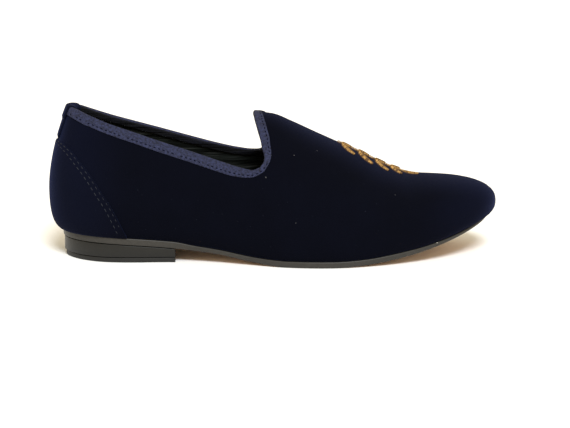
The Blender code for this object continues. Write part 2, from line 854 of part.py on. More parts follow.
def build_insole():
    """The sock on its board, inside the wall and on the sole."""
    outline = offset_outline(FEATHER, -(WALL + 0.6))
    stations = rounded_stations(outline[:, 0].min(), outline[:, 0].max(), 37)
    return plate(
        "insole",
        stations,
        width_reader(outline),
        (-1.0, 0.0, 1.0),
        lambda station, share: float(sole_top(station)) + GAP + INSOLE_THICKNESS,
        lambda station, share: float(sole_top(station)) + GAP,
    )


def place_on_origin(objects):
    """Moves every mesh so that the middle of the shoe's box stands over the origin."""
    corners = np.array([v.co for obj in objects for v in obj.data.vertices])
    low, high = corners.min(0), corners.max(0)
    shift = Vector((-(low[0] + high[0]) / 2, -(low[1] + high[1]) / 2, 0))
    for obj in objects:
        for vertex in obj.data.vertices:
            vertex.co += shift
    return shift


def main():
    for obj in list(bpy.data.objects):
        bpy.data.objects.remove(obj)
    grid = outer_grid()
    normals = grid_normals(grid)
    pieces = [
        build_upper(grid, normals),
        build_binding(grid, normals),
        build_tab(),
        build_counter(),
        build_outsole(),
        *build_heel(),
        build_insole(),
    ]
    place_on_origin(pieces)


main()
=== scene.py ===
import math
import random

import bmesh
import bpy
import numpy as np
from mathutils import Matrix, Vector


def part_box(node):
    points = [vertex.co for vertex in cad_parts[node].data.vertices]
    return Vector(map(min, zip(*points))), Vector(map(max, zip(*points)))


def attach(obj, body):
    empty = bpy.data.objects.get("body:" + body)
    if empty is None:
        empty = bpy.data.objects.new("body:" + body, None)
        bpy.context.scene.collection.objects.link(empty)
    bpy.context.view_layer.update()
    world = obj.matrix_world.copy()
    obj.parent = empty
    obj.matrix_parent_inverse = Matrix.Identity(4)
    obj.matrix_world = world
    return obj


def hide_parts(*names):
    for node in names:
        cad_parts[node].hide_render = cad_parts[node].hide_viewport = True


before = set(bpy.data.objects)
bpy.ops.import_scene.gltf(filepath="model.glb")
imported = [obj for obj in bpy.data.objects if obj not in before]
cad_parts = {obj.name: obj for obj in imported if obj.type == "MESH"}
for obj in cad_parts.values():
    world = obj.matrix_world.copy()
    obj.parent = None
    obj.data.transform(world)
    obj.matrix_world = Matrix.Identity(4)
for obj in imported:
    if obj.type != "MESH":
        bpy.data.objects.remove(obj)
print("CAD nodes:", len(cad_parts))
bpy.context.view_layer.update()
random.seed(4)
millimetre = 0.001

# The last's sizes, in millimetres: stations run from the back of the heel to the toe, +Y is the
# inner side, Z is up from the floor.
shoe = {
    "length": 293.6,
    "heelBreast": 84.5,
    "topPieceHeight": 3.3,
    "wall": 2.0,
    "gap": 0.3,
    "soleMargins": (0.0, 1.0),
    "blockMargins": (-0.7, 0.6),
    "topPieceMargins": (-1.7, 0.0),
    "heelBack": 12.0,
    "marginRun": 25.0,
    "insoleThickness": 3.0,
    "heelCentre": 30.0,
    "toeCentre": 262.0,
    "throatCorner": {-1: 139.2, 1: 142.5},
    "throatPeak": 136.0,
}

# The feather line in plan: station and side, once round from the toe.
featherPoints = (
    (288.2, 4.5),
    (286.4, -4.5),
    (281.8, -13.0),
    (274.0, -21.3),
    (262.5, -29.2),
    (247.0, -36.6),
    (229.0, -43.0),
    (208.0, -48.2),
    (185.0, -51.0),
    (160.0, -49.0),
    (135.0, -42.5),
    (110.0, -35.5),
    (85.0, -31.0),
    (60.0, -31.0),
    (38.0, -28.5),
    (21.0, -19.2),
    (11.3, 0.0),
    (21.0, 19.2),
    (38.0, 28.0),
    (60.0, 30.0),
    (85.0, 28.0),
    (110.0, 26.5),
    (135.0, 31.0),
    (160.0, 39.0),
    (185.0, 44.5),
    (208.0, 46.2),
    (229.0, 43.8),
    (247.0, 39.6),
    (262.5, 34.2),
    (274.0, 28.0),
    (281.8, 21.0),
    (286.4, 13.2),
)

# station, underside, thickness
soleProfile = (
    (8.0, 13.2, 4.2),
    (35.0, 12.6, 4.2),
    (60.0, 11.2, 4.3),
    (83.0, 9.3, 4.3),
    (97.0, 8.0, 3.2),
    (112.0, 6.3, 3.0),
    (130.0, 3.2, 3.1),
    (146.0, 0.8, 3.7),
    (156.0, 0.0, 4.0),
    (184.0, 0.0, 4.0),
    (205.0, 1.3, 3.6),
    (225.0, 4.0, 3.5),
    (245.0, 8.1, 2.9),
    (262.0, 13.0, 2.5),
    (276.0, 18.0, 2.1),
    (289.0, 23.0, 1.6),
)

# station, bulge, widest height, ridge height, side fullness, top fullness
lastProfile = (
    (0.0, 8.9, 43.0, 122.0, 0.43, 0.16),
    (16.0, 7.2, 42.2, 120.0, 0.42, 0.15),
    (30.0, 5.7, 40.6, 118.0, 0.40, 0.14),
    (42.0, 4.9, 38.8, 114.5, 0.41, 0.16),
    (58.0, 4.6, 36.0, 107.0, 0.43, 0.32),
    (78.0, 4.5, 32.5, 102.0, 0.45, 0.42),
    (98.0, 4.6, 29.2, 97.4, 0.43, 0.41),
    (118.0, 4.6, 25.8, 94.2, 0.39, 0.46),
    (136.0, 4.5, 23.5, 92.7, 0.37, 0.55),
    (148.0, 4.3, 22.5, 91.3, 0.38, 0.59),
    (160.0, 4.1, 21.8, 86.3, 0.40, 0.60),
    (175.0, 3.9, 21.2, 79.1, 0.43, 0.60),
    (191.0, 3.8, 21.0, 71.6, 0.45, 0.60),
    (207.0, 3.8, 21.2, 63.9, 0.46, 0.60),
    (223.0, 3.9, 22.0, 55.9, 0.49, 0.60),
    (240.0, 4.2, 24.0, 50.3, 0.51, 0.61),
    (255.0, 4.9, 26.6, 49.3, 0.56, 0.64),
    (270.0, 5.7, 29.6, 48.1, 0.59, 0.67),
    (293.0, 6.7, 33.0, 45.4, 0.61, 0.69),
)

# station, outer side height, inner side height
toplinePoints = (
    (8.0, 97.2, 97.2),
    (15.0, 97.0, 97.0),
    (20.0, 96.3, 96.0),
    (30.0, 92.7, 92.1),
    (42.0, 88.0, 87.8),
    (58.0, 82.8, 82.9),
    (78.0, 76.2, 77.2),
    (98.0, 69.9, 71.8),
    (116.0, 64.4, 66.9),
    (128.0, 61.2, 63.9),
    (134.0, 60.4, 62.9),
    (139.0, 62.2, 62.6),
    (144.0, 64.0, 64.2),
)

# share of the way to the ridge, outer side station, inner side station
throatPoints = (
    (0.0, 139.2, 142.5),
    (0.04, 141.9, 144.0),
    (0.08, 142.4, 144.8),
    (0.14, 142.0, 145.1),
    (0.2, 141.0, 145.2),
    (0.3, 140.2, 144.4),
    (0.45, 138.6, 142.6),
    (0.75, 136.7, 138.3),
    (0.92, 136.3, 136.6),
    (1.0, 136.2, 136.2),
)

# station, height
counterPoints = (
    (0.0, 76.4),
    (7.0, 76.1),
    (12.8, 75.0),
    (19.0, 71.0),
    (25.6, 63.8),
    (31.8, 56.2),
    (38.9, 45.4),
    (44.5, 36.6),
    (49.6, 26.2),
    (53.0, 18.6),
    (55.0, 14.0),
)


def monotone(table, index):
    # A smooth curve through a column of a table over its first column, with no overshoot.
    x = np.array([row[0] for row in table], float)
    y = np.array([row[index] for row in table], float)
    step = np.diff(x)
    slope = np.diff(y) / step
    tangent = np.zeros(len(x))
    tangent[0], tangent[-1] = slope[0], slope[-1]
    for i in range(1, len(x) - 1):
        if slope[i - 1] * slope[i] > 0:
            before, after = 2 * step[i] + step[i - 1], step[i] + 2 * step[i - 1]
            tangent[i] = (before + after) / (before / slope[i - 1] + after / slope[i])

    def value(at):
        at = np.clip(np.asarray(at, float), x[0], x[-1])
        i = np.clip(np.searchsorted(x, at) - 1, 0, len(step) - 1)
        t = (at - x[i]) / step[i]
        rise = 3 * t**2 - 2 * t**3
        ends = y[i] * (1 - rise) + y[i + 1] * rise
        return ends + step[i] * (tangent[i] * t * (1 - t) ** 2 - tangent[i + 1] * t**2 * (1 - t))

    return value


def closedSpline(points, samplesEach):
    points = np.asarray(points, float)
    n = len(points)
    step = np.linalg.norm(np.roll(points, -1, 0) - points, axis=1)
    system, right = np.zeros((n, n)), np.zeros((n, 2))
    for i in range(n):
        before, after = (i - 1) % n, (i + 1) % n
        system[i, before] += step[before]
        system[i, i] += 2 * (step[before] + step[i])
        system[i, after] += step[i]
        leaving = (points[after] - points[i]) / step[i]
        right[i] = 6 * (leaving - (points[i] - points[before]) / step[before])
    bend = np.linalg.solve(system, right)
    dense = []
    for i in range(n):
        j, h = (i + 1) % n, step[i]
        for t in np.arange(samplesEach) / samplesEach:
            a, b = 1 - t, t
            cubic = ((a**3 - a) * bend[i] + (b**3 - b) * bend[j]) * h * h / 6
            dense.append(a * points[i] + b * points[j] + cubic)
    return np.array(dense)


underSole, soleThickness = monotone(soleProfile, 1), monotone(soleProfile, 2)
bulgeAt, widestHeight, ridgeHeight = (monotone(lastProfile, i) for i in (1, 2, 3))
sideFullness, topFullness = monotone(lastProfile, 4), monotone(lastProfile, 5)
toplineHeights = {-1: monotone(toplinePoints, 1), 1: monotone(toplinePoints, 2)}
throatStations = {-1: monotone(throatPoints, 1), 1: monotone(throatPoints, 2)}
counterHeight = monotone(counterPoints, 1)


def soleTop(station):
    return underSole(station) + soleThickness(station)


def ridgeSide(station):
    share = (np.asarray(station, float) - shoe["throatPeak"]) / (shoe["length"] - shoe["throatPeak"])
    return featherPoints[0][1] * np.clip(share, 0, None)


def unit(vectors, least=0.0):
    return vectors / (np.linalg.norm(vectors, axis=-1, keepdims=True) + least)


def offsetOutline(outline, distance):
    ahead = unit(np.roll(outline, -1, 0) - np.roll(outline, 1, 0))
    outwards = np.stack([-ahead[:, 1], ahead[:, 0]], 1)
    if ((outline - outline.mean(0)) * outwards).sum() < 0:
        outwards = -outwards
    return outline + outwards * np.reshape(distance, (-1, 1))


feather = closedSpline(featherPoints, 16)
widest = offsetOutline(feather, bulgeAt(feather[:, 0]))
heelIndex = int(np.argmin(feather[:, 0]))


def withMargin(margins):
    # The feather line moved out by one margin at the back of the heel and another further on.
    back, ahead = margins
    share = np.clip((feather[:, 0] - shoe["heelBack"]) / shoe["marginRun"], 0, 1)
    return offsetOutline(feather, back + (ahead - back) * share)


def halfOf(outline, side):
    if side < 0:
        return outline[: heelIndex + 1]
    return np.vstack([outline[:1], outline[: heelIndex - 1 : -1]])


widestHalf = {side: halfOf(widest, side) for side in (-1, 1)}
featherHalf = {side: halfOf(feather, side) for side in (-1, 1)}


def atIndex(halves, side, position):
    half = halves[side]
    steps = np.arange(len(half))
    return np.array([np.interp(position, steps, half[:, 0]), np.interp(position, steps, half[:, 1])])


def indexAtStation(side, station):
    half = widestHalf[side][::-1]
    return np.interp(station, half[:, 0], np.arange(len(half))[::-1])


rearAngles = {}
for side in (-1, 1):
    rear = np.nonzero(widestHalf[side][:, 0] < shoe["heelCentre"] + 15)[0]
    away = widestHalf[side][rear]
    angles = np.arctan2(np.abs(away[:, 1]), shoe["heelCentre"] - away[:, 0])
    rearAngles[side] = (angles[::-1], rear[::-1] * 1.0)

frontAngles = {}
for side in (-1, 1):
    front = widestHalf[side][widestHalf[side][:, 0] > shoe["toeCentre"] - 12]
    away = front - [shoe["toeCentre"], ridgeSide(shoe["toeCentre"])]
    angles = np.arctan2(side * away[:, 1], away[:, 0])
    order = np.argsort(angles)
    frontAngles[side] = (angles[order], np.linalg.norm(away, axis=1)[order])

ridgeSlopeAtToe = float(ridgeHeight(shoe["toeCentre"] + 1) - ridgeHeight(shoe["toeCentre"] - 1)) / 2


def cubicAt(a, b, c, d, t):
    return a * (1 - t) ** 3 + 3 * b * (1 - t) ** 2 * t + 3 * c * (1 - t) * t**2 + d * t**3


def lastTop(station, across):
    # The height of the last over a point of the plan, between the widest line and the ridge.
    heelCentre, toeCentre = shoe["heelCentre"], shoe["toeCentre"]
    foot = min(max(station, heelCentre), toeCentre)
    ridge = float(ridgeSide(foot))
    along, away = station - foot, across - ridge
    side = 1 if away > 0 else -1
    tableStation, lean = foot, 0.0
    if station > toeCentre:
        angle = math.atan2(side * away, along)
        reach = float(np.interp(angle, *frontAngles[side]))
        lean = math.cos(angle)
        wideStation = foot + reach * lean
    elif station < heelCentre:
        angle = math.atan2(abs(away), -along)
        wide = atIndex(widestHalf, side, np.interp(angle, *rearAngles[side]))
        reach = math.hypot(wide[0] - foot, wide[1])
        tableStation = wideStation = wide[0]
    else:
        half = widestHalf[side][::-1]
        reach = abs(np.interp(station, half[:, 0], half[:, 1]) - ridge)
        wideStation = station
    share = min(1.0, math.hypot(along, away) / reach)
    full = float(topFullness(tableStation))
    low, high = 0.0, 1.0
    for _ in range(26):
        t = (low + high) / 2
        low, high = (t, high) if cubicAt(1, 1, full, 0, t) > share else (low, t)
    base, top = float(widestHeight(wideStation)), float(ridgeHeight(tableStation))
    shoulder = base + float(sideFullness(tableStation)) * (top - base)
    underRidge = top + ridgeSlopeAtToe * lean * full * reach
    return cubicAt(base, shoulder, underRidge, top, t)


def lastNormal(station, across, step):
    # Upwards from the last, of no set length.
    ahead = (lastTop(station + step, across) - lastTop(station - step, across)) / (2 * step)
    aside = (lastTop(station, across + step) - lastTop(station, across - step)) / (2 * step)
    return np.array([-ahead, -aside, 1.0])


def bezier(points, t):
    return cubicAt(*(np.asarray(p, float) for p in points), np.asarray(t, float)[:, None])


def runOf(path):
    # How far along a path each of its points is.
    return np.concatenate([[0], np.cumsum(np.linalg.norm(np.diff(path, axis=0), axis=1))])


def spread(path, shares):
    run = runOf(path)
    at = np.asarray(shares) * run[-1]
    return np.column_stack([np.interp(at, run, path[:, i]) for i in range(path.shape[1])])


def lowerWall(side, position, samples):
    foot, wide = atIndex(featherHalf, side, position), atIndex(widestHalf, side, position)
    low = float(soleTop(foot[0])) + shoe["gap"]
    high = float(widestHeight(wide[0]))
    rise, out = high - low, wide - foot
    first = np.array([*(foot + 0.72 * out), low + 0.08 * rise])
    return bezier(((*foot, low), first, (*wide, high - 0.6 * rise), (*wide, high)), samples)


def quarterSection(side, position):
    wide = atIndex(widestHalf, side, position)
    station = float(wide[0])
    foot = np.array([max(station, shoe["heelCentre"]), 0.0])
    high, top = float(widestHeight(station)), float(ridgeHeight(station))
    shoulder = high + float(sideFullness(station)) * (top - high)
    inner = foot + float(topFullness(station)) * (wide - foot)
    path = bezier(((*wide, high), (*wide, shoulder), (*inner, top), (*foot, top)), np.linspace(0, 1, 288))
    excess = path[:, 2] - toplineHeights[side](path[:, 0])
    over = np.nonzero(excess > 0)[0]
    if not len(over):
        return path
    last = over[0]
    share = excess[last - 1] / (excess[last - 1] - excess[last])
    return np.vstack([path[:last], path[last - 1] + share * (path[last] - path[last - 1])])


def throatPoint(side, share):
    corner = quarterSection(side, indexAtStation(side, shoe["throatCorner"][side]))[-1]
    station = float(throatStations[side](share))
    ridge = float(ridgeSide(station))
    across = ridge + (corner[1] - ridge) * (1 - share)
    return np.array([station, across, lastTop(station, across)])


# How finely the visible upper is divided.
upperMesh = {
    "heelFan": 26,
    "stations": [32.5 + 2.5 * i for i in range(37)],
    "corner": [-11.0, -9.2, -7.5, -5.9, -4.4, -3.1, -2.0, -1.1, -0.4, 0.0],
    "throat": [0.012, 0.028, 0.05, 0.075, 0.1, 0.13, 0.165, 0.2, 0.24] + [0.28 + 0.04 * i for i in range(19)],
    "bulgeRows": 12,
    "wallRows": 64,
    "bindingRows": 6,
    "bindingWidth": 6.1,
    "cornerPinch": 2.6,
    "cornerReach": 11.0,
    "rearPinch": 1.4,
    "rearReach": 22.0,
    "throatPinch": 0.9,
    "throatLead": 2.0,
    "throatRun": 8.0,
    "ridgePinch": 0.6,
    "ridgeReach": 9.0,
}


def quarterPositions(side, fan, stations):
    # Positions on the widest line: a fan round the heel from its back, then the stations ahead of it.
    angles = np.linspace(0, np.pi / 2, fan + 1)
    return [np.interp(a, *rearAngles[side]) for a in angles] + [indexAtStation(side, s) for s in stations]


def underBinding(side, edge):
    mirror = edge[-2] * [1, 0, 1] + [0, 2 * float(ridgeSide(edge[-1][0])) - edge[-2][1], 0]
    path = np.vstack([edge[1] * [1, -1, 1], edge, mirror])
    corner = len(edge) - len(upperMesh["throat"]) - 1

    def away(spot):
        return np.linalg.norm(edge - edge[spot], axis=1)

    def pinch(name, spot):
        return upperMesh[name + "Pinch"] * np.exp(-((away(spot) / upperMesh[name + "Reach"]) ** 2))

    widths = upperMesh["bindingWidth"] - pinch("corner", corner) - pinch("rear", 0)
    pastCorner = away(corner) * np.where(np.arange(len(edge)) > corner, 1, -1)
    share = np.clip((pastCorner + upperMesh["throatLead"]) / upperMesh["throatRun"], 0, 1)
    widths -= upperMesh["throatPinch"] * share**2 * (3 - 2 * share)
    widths -= pinch("ridge", -1)
    lower = []
    for before, at, after, width in zip(path, edge, path[2:], widths):
        down = np.cross(lastNormal(at[0], at[1], 1.5), after - before) * side
        point = at + width * unit(down)
        point[2] = lastTop(point[0], point[1])
        lower.append(point)
    return np.array(lower)


def halfColumns(side):
    quarter = quarterPositions(side, upperMesh["heelFan"], upperMesh["stations"])
    edge = [quarterSection(side, p)[-1] for p in quarter]
    corners = [shoe["throatCorner"][side] + step for step in upperMesh["corner"]]
    edge += [quarterSection(side, indexAtStation(side, s))[-1] for s in corners]
    edge += [throatPoint(side, share) for share in upperMesh["throat"]]
    edge = np.array(edge)
    half = widestHalf[side]
    run = runOf(half)
    lastRun = np.interp(quarter[-1], np.arange(len(half)), run)
    extra = len(edge) - len(quarter)
    ahead = np.arange(1, extra + 1) / extra
    feet = quarter + list(np.interp(lastRun * (1 - ahead), run, np.arange(len(half))))
    bulge = np.linspace(0, 1, upperMesh["bulgeRows"] + 1)
    columns = []
    for position, low, top in zip(feet, underBinding(side, edge), edge):
        wide = atIndex(widestHalf, side, position)
        alongPlan = 1 - np.cos(np.linspace(0, np.pi / 2, 90))
        plan = wide + (low[:2] - wide) * alongPlan[:, None]
        heights = [lastTop(*point) for point in plan]
        heights[0] = float(widestHeight(wide[0]))
        path = np.column_stack([plan, heights])
        crowding = 1.0 + 0.35 * np.clip((runOf(path)[-1] - 60) / 140, 0, 1)
        shares = (np.arange(1, upperMesh["wallRows"]) / (upperMesh["wallRows"] - 1)) ** crowding
        steps = np.arange(1, upperMesh["bindingRows"] + 1) / upperMesh["bindingRows"]
        bound = low + (top - low) * steps[:, None]
        columns.append(np.vstack([lowerWall(side, position, bulge), spread(path, shares), bound]))
    return columns


outerHalf, innerHalf = halfColumns(-1), halfColumns(1)
grid = np.array([*outerHalf, *innerHalf[-2:0:-1]])
bindRow = grid.shape[1] - 1 - upperMesh["bindingRows"]
print("upper grid", grid.shape)


def normalsOf(points):
    around = np.roll(points, -1, 0) - np.roll(points, 1, 0)
    normal = unit(np.cross(around, np.gradient(points, axis=1)), 1e-12)
    return normal if ((points - points.mean((0, 1))) * normal).sum() > 0 else -normal


normals = normalsOf(grid)

# The CAD sole and the sole's own outline give the shift from stations to the shared frame.
soleOutline = withMargin(shoe["soleMargins"])
soleLow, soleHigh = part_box("outsole")
shift = np.zeros(3)
for i in range(2):
    middle = (soleOutline[:, i].min() + soleOutline[:, i].max()) / 2
    shift[i] = (soleLow[i] + soleHigh[i]) / 2 / millimetre - middle
print("shift", shift.round(2))


# Soft undulations of the cloth over the last, listed one by one: where, how far they reach along and
# up the shoe, how far they stand out, all in millimetres.
undulations = (
    # side, station, height, reach along, reach up, tilt in degrees, out
    (-1, 96.0, 20.0, 9.0, 6.0, 20.0, -0.45),
    (-1, 106.0, 18.0, 8.0, 7.0, 10.0, 0.35),
    (-1, 118.0, 22.0, 10.0, 8.0, -10.0, -0.3),
    (-1, 70.0, 42.0, 24.0, 14.0, -12.0, -0.5),
    (-1, 120.0, 45.0, 18.0, 10.0, 20.0, 0.35),
    (-1, 150.0, 52.0, 9.0, 26.0, 24.0, -0.5),
    (-1, 168.0, 44.0, 10.0, 26.0, 30.0, 0.35),
    (-1, 190.0, 38.0, 10.0, 20.0, 34.0, -0.35),
    (-1, 236.0, 30.0, 16.0, 9.0, 10.0, 0.3),
    (1, 96.0, 24.0, 12.0, 8.0, 15.0, -0.45),
    (1, 112.0, 20.0, 9.0, 7.0, 0.0, 0.35),
    (1, 75.0, 45.0, 24.0, 14.0, -10.0, -0.5),
    (1, 152.0, 52.0, 9.0, 24.0, 24.0, -0.45),
    (1, 178.0, 42.0, 12.0, 22.0, 30.0, 0.35),
)


def clothRelief(points, facing):
    out = np.zeros(points.shape[:2])
    for side, station, height, along, up, tilt, depth in undulations:
        turn = math.radians(tilt)
        dx, dz = points[..., 0] - station, points[..., 2] - height
        u = (dx * math.cos(turn) + dz * math.sin(turn)) / along
        v = (-dx * math.sin(turn) + dz * math.cos(turn)) / up
        here = np.clip(side * points[..., 1] / 12.0, 0, 1)
        out += depth * np.exp(-(u**2) - v**2) * here
    rows = np.arange(points.shape[1])
    fade = np.clip(rows / 3.0, 0, 1) * np.clip((bindRow - rows) / 6.0, 0, 1)
    return points + facing * (out * fade)[..., None]


cloth = clothRelief(grid, normals)


def addObject(name, data):
    obj = bpy.data.objects.new(name, data)
    bpy.context.scene.collection.objects.link(obj)
    return obj


def finishMesh(name, points, faces, materials, faceMaterials=None, uvs=None, merge=0.0):
    mesh = bpy.data.meshes.new(name)
    placed = (np.asarray(points, float) + shift) * millimetre
    mesh.from_pydata(placed.tolist(), [], faces)
    for material in materials:
        mesh.materials.append(material)
    if faceMaterials is not None:
        mesh.polygons.foreach_set("material_index", faceMaterials)
    if uvs is not None:
        layer = mesh.uv_layers.new(name="UVMap")
        loops = np.zeros(len(mesh.loops), int)
        mesh.loops.foreach_get("vertex_index", loops)
        layer.data.foreach_set("uv", np.asarray(uvs, float)[loops].ravel())
    mesh.shade_smooth()
    shape = bmesh.new()
    shape.from_mesh(mesh)
    if merge:
        bmesh.ops.remove_doubles(shape, verts=shape.verts, dist=merge * millimetre)
    bmesh.ops.recalc_face_normals(shape, faces=shape.faces)
    if shape.calc_volume(signed=True) < 0:
        bmesh.ops.reverse_faces(shape, faces=shape.faces)
    shape.to_mesh(mesh)
    shape.free()
    return addObject(name, mesh)


def tubeFaces(count, width, closed=False, capped=True, first=0):
    # Quads between rings: count rings of width points, numbered from first on.
    faces = []
    for i in range(count if closed else count - 1):
        a, b = first + i * width, first + (i + 1) % count * width
        for k in range(width):
            n = (k + 1) % width
            faces.append((a + k, b + k, b + n, a + n))
    if capped and not closed:
        faces += [tuple(range(a, a + width)) for a in (first, first + (count - 1) * width)]
    return faces


def sweep(name, sections, closed, materials, marks=None):
    sections = np.asarray(sections, float)
    count, width = sections.shape[:2]
    # The map runs along the sweep and round each section, in millimetres.
    length = np.repeat(runOf(sections.mean(1)), width)
    around = np.concatenate([runOf(points) for points in sections])
    uvs = np.column_stack([length, around])
    faces = tubeFaces(count, width, closed)
    faceMarks = None if marks is None else marks * count
    return finishMesh(name, sections.reshape(-1, 3), faces, materials, faceMarks, uvs)


def ride(obj, slot, *replaced):
    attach(obj, "root")
    if replaced:
        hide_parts(*replaced)


# Shader helpers.
black = (0, 0, 0, 1)
outputKinds = {"Color": "NodeSocketColor", "Normal": "NodeSocketVector"}


def nodeGroup(name, inputs, outputs):
    group = bpy.data.node_groups.new(name, "ShaderNodeTree")
    for label, value in inputs.items():
        kind = "NodeSocketFloat" if isinstance(value, float) else "NodeSocketColor"
        group.interface.new_socket(name=label, in_out="INPUT", socket_type=kind).default_value = value
    for label in outputs:
        kind = outputKinds.get(label, "NodeSocketFloat")
        group.interface.new_socket(name=label, in_out="OUTPUT", socket_type=kind)
    return group, group.nodes.new("NodeGroupInput").outputs, group.nodes.new("NodeGroupOutput").inputs


def feed(tree, value, socket):
    if isinstance(value, bpy.types.NodeSocket):
        tree.links.new(value, socket)
    else:
        socket.default_value = value


def add(tree, kind, inputs=None, **settings):
    node = tree.nodes.new(kind)
    for key, value in settings.items():
        setattr(node, key, value)
    for key, value in (inputs or {}).items():
        feed(tree, value, node.inputs[key])
    return node


def calc(tree, operation, a, b=0.0):
    return add(tree, "ShaderNodeMath", {0: a, 1: b}, operation=operation).outputs[0]


def split(tree, vector):
    return add(tree, "ShaderNodeSeparateXYZ", {0: vector}).outputs


def objectPlace(tree):
    return add(tree, "ShaderNodeTexCoord").outputs["Object"]


def noiseOn(tree, place, scale, detail, rough):
    inputs = {"Vector": place, "Scale": scale, "Detail": detail, "Roughness": rough}
    return add(tree, "ShaderNodeTexNoise", inputs).outputs["Fac"]


def mixColours(tree, factor, a, b, blend="MIX"):
    inputs = {"Factor": factor, "A": a, "B": b}
    return add(tree, "ShaderNodeMix", inputs, data_type="RGBA", blend_type=blend).outputs["Result"]


def mapRange(tree, value, limits, kind="LINEAR"):
    inputs = {"Value": value, **dict(zip(("From Min", "From Max", "To Min", "To Max"), limits))}
    return add(tree, "ShaderNodeMapRange", inputs, interpolation_type=kind).outputs["Result"]


def bumpFrom(tree, height, strength, distance):
    inputs = {"Height": height, "Strength": strength, "Distance": distance}
    return add(tree, "ShaderNodeBump", inputs)


def makePileSheenGroup():
    # Velvet pile: a fine nap for the bump, and broad patches where the nap lies over. Its two masks place
    # painted sheen: less where the shoe faces up, painted shade where it faces down, more painted sheen at
    # heel and toe.
    group, take, give = nodeGroup(
        "velvetPileSheen",
        {"Dark": black, "Light": black, "Nap Height": 0.1, "Sheen Up Share": 0.4, "Sheen End Share": 0.2},
        ("Color", "Brush", "Sheen Ends", "Normal"),
    )
    place = objectPlace(group)
    patches = noiseOn(group, place, 28.0, 4.0, 0.6)
    fine = noiseOn(group, place, 2600.0, 2.0, 0.7)
    blend = calc(group, "ADD", calc(group, "MULTIPLY", patches, 0.75), calc(group, "MULTIPLY", fine, 0.35))
    pile = mixColours(group, blend, take["Dark"], take["Light"])
    specks = calc(group, "GREATER_THAN", noiseOn(group, place, 900.0, 1.0, 0.5), 0.81)
    speckled = mixColours(group, calc(group, "MULTIPLY", specks, 0.35), pile, (0.05, 0.055, 0.085, 1))
    feed(group, speckled, give["Color"])
    feed(group, bumpFrom(group, fine, take["Nap Height"], 0.0004).outputs[0], give["Normal"])
    # Painted sheen and shade by which way the surface faces: less sheen colour facing up, painted shade
    # facing down.
    upwards = split(group, add(group, "ShaderNodeNewGeometry").outputs["Normal"])["Z"]
    upwardSheen = mapRange(group, upwards, (0.3, 1.0, 1.0, take["Sheen Up Share"]))
    shadeUnder = mapRange(group, upwards, (-0.5, 0.05, 0.2, 1.0))
    feed(group, calc(group, "MULTIPLY", upwardSheen, shadeUnder), give["Brush"])
    # More painted sheen towards the heel and the toe.
    fromMiddle = calc(group, "ABSOLUTE", split(group, place)["X"])
    ends = mapRange(group, fromMiddle, (0.088, 0.145, 0.0, take["Sheen End Share"]), "SMOOTHSTEP")
    feed(group, ends, give["Sheen Ends"])
    return group


def makeGrainGroup():
    # A worn surface: noise of two sizes over a base colour, with a bump from the finer one.
    group, take, give = nodeGroup(
        "wornGrain", {"Base": black, "Worn": black, "Scale": 300.0, "Depth": 0.2}, ("Color", "Normal")
    )
    place = objectPlace(group)
    broad = noiseOn(group, place, 60.0, 4.0, 0.65)
    fine = noiseOn(group, place, take["Scale"], 4.0, 0.6)
    wear = calc(group, "MULTIPLY", calc(group, "MULTIPLY", broad, fine), 1.8)
    feed(group, mixColours(group, wear, take["Base"], take["Worn"]), give["Color"])
    feed(group, bumpFrom(group, fine, take["Depth"], 0.0004).outputs[0], give["Normal"])
    return group


def makeRibGroup():
    # Grosgrain: ribs across the tape's length, which runs along the map's first axis in mm.
    group, take, give = nodeGroup(
        "grosgrainRib", {"Low": black, "High": black, "Pitch": 0.8, "Depth": 0.4}, ("Color", "Normal")
    )
    length = split(group, add(group, "ShaderNodeUVMap", uv_map="UVMap").outputs["UV"])["X"]
    turns = calc(group, "DIVIDE", length, take["Pitch"])
    wave = calc(group, "SINE", calc(group, "MULTIPLY", turns, 2 * math.pi))
    rib = calc(group, "ADD", calc(group, "MULTIPLY", wave, 0.5), 0.5)
    uneven = noiseOn(group, objectPlace(group), 760.0, 3.0, 0.6)
    mottle = calc(group, "MULTIPLY", calc(group, "SUBTRACT", uneven, 0.38), 2.6)
    height = calc(group, "ADD", calc(group, "MULTIPLY", rib, 0.45), mottle)
    # The colour follows the height: painted shade in the rib troughs, and random mottling.
    feed(group, mixColours(group, height, take["Low"], take["High"]), give["Color"])
    feed(group, bumpFrom(group, height, take["Depth"], 0.0003).outputs[0], give["Normal"])
    return group


def makeCreaseGroup():
    # Soft creases along a wall: their height, and a mask of painted shade that is darker in their troughs.
    group, take, give = nodeGroup("softCrease", {"Across": 200.0, "Trough Shade": 0.3}, ("Height", "Shade"))
    stretch = add(group, "ShaderNodeCombineXYZ", {0: 26.0, 1: 26.0, 2: take["Across"]}).outputs[0]
    stretched = add(group, "ShaderNodeVectorMath", {0: objectPlace(group), 1: stretch}, operation="MULTIPLY")
    crease = noiseOn(group, stretched.outputs[0], 1.0, 2.0, 0.5)
    feed(group, crease, give["Height"])
    feed(group, mapRange(group, crease, (0.36, 0.62, take["Trough Shade"], 1.0)), give["Shade"])
    return group


pileSheenGroup, grainGroup, ribGroup, creaseGroup = (
    make() for make in (makePileSheenGroup, makeGrainGroup, makeRibGroup, makeCreaseGroup)
)


def newMaterial(name, group, groupValues, shaderValues):
    material = bpy.data.materials.new(name)
    material.use_nodes = True
    tree = material.node_tree
    shader = tree.nodes["Principled BSDF"].inputs
    for key, value in shaderValues.items():
        shader[key].default_value = value
    effect = add(tree, "ShaderNodeGroup", groupValues, node_tree=group).outputs
    feed(tree, effect["Color"], shader["Base Color"])
    feed(tree, effect["Normal"], shader["Normal"])
    return material, tree, shader, effect


velvetLook = {
    "dark": (0.0008, 0.0010, 0.0023),
    "light": (0.0019, 0.0024, 0.0066),
    # edge: the painted sheen colour, taken where the pile turns from the view.
    "edge": (0.0070, 0.0100, 0.034, 1),
    "sheenStart": 0.27,
    "sheenUpShare": 0.4,
    "sheenEndShare": 0.2,
    "sheen": 0.10,
    "sheenRoughness": 0.30,
    "sheenTint": (0.20, 0.27, 0.70, 1),
    "nap": 0.35,
}


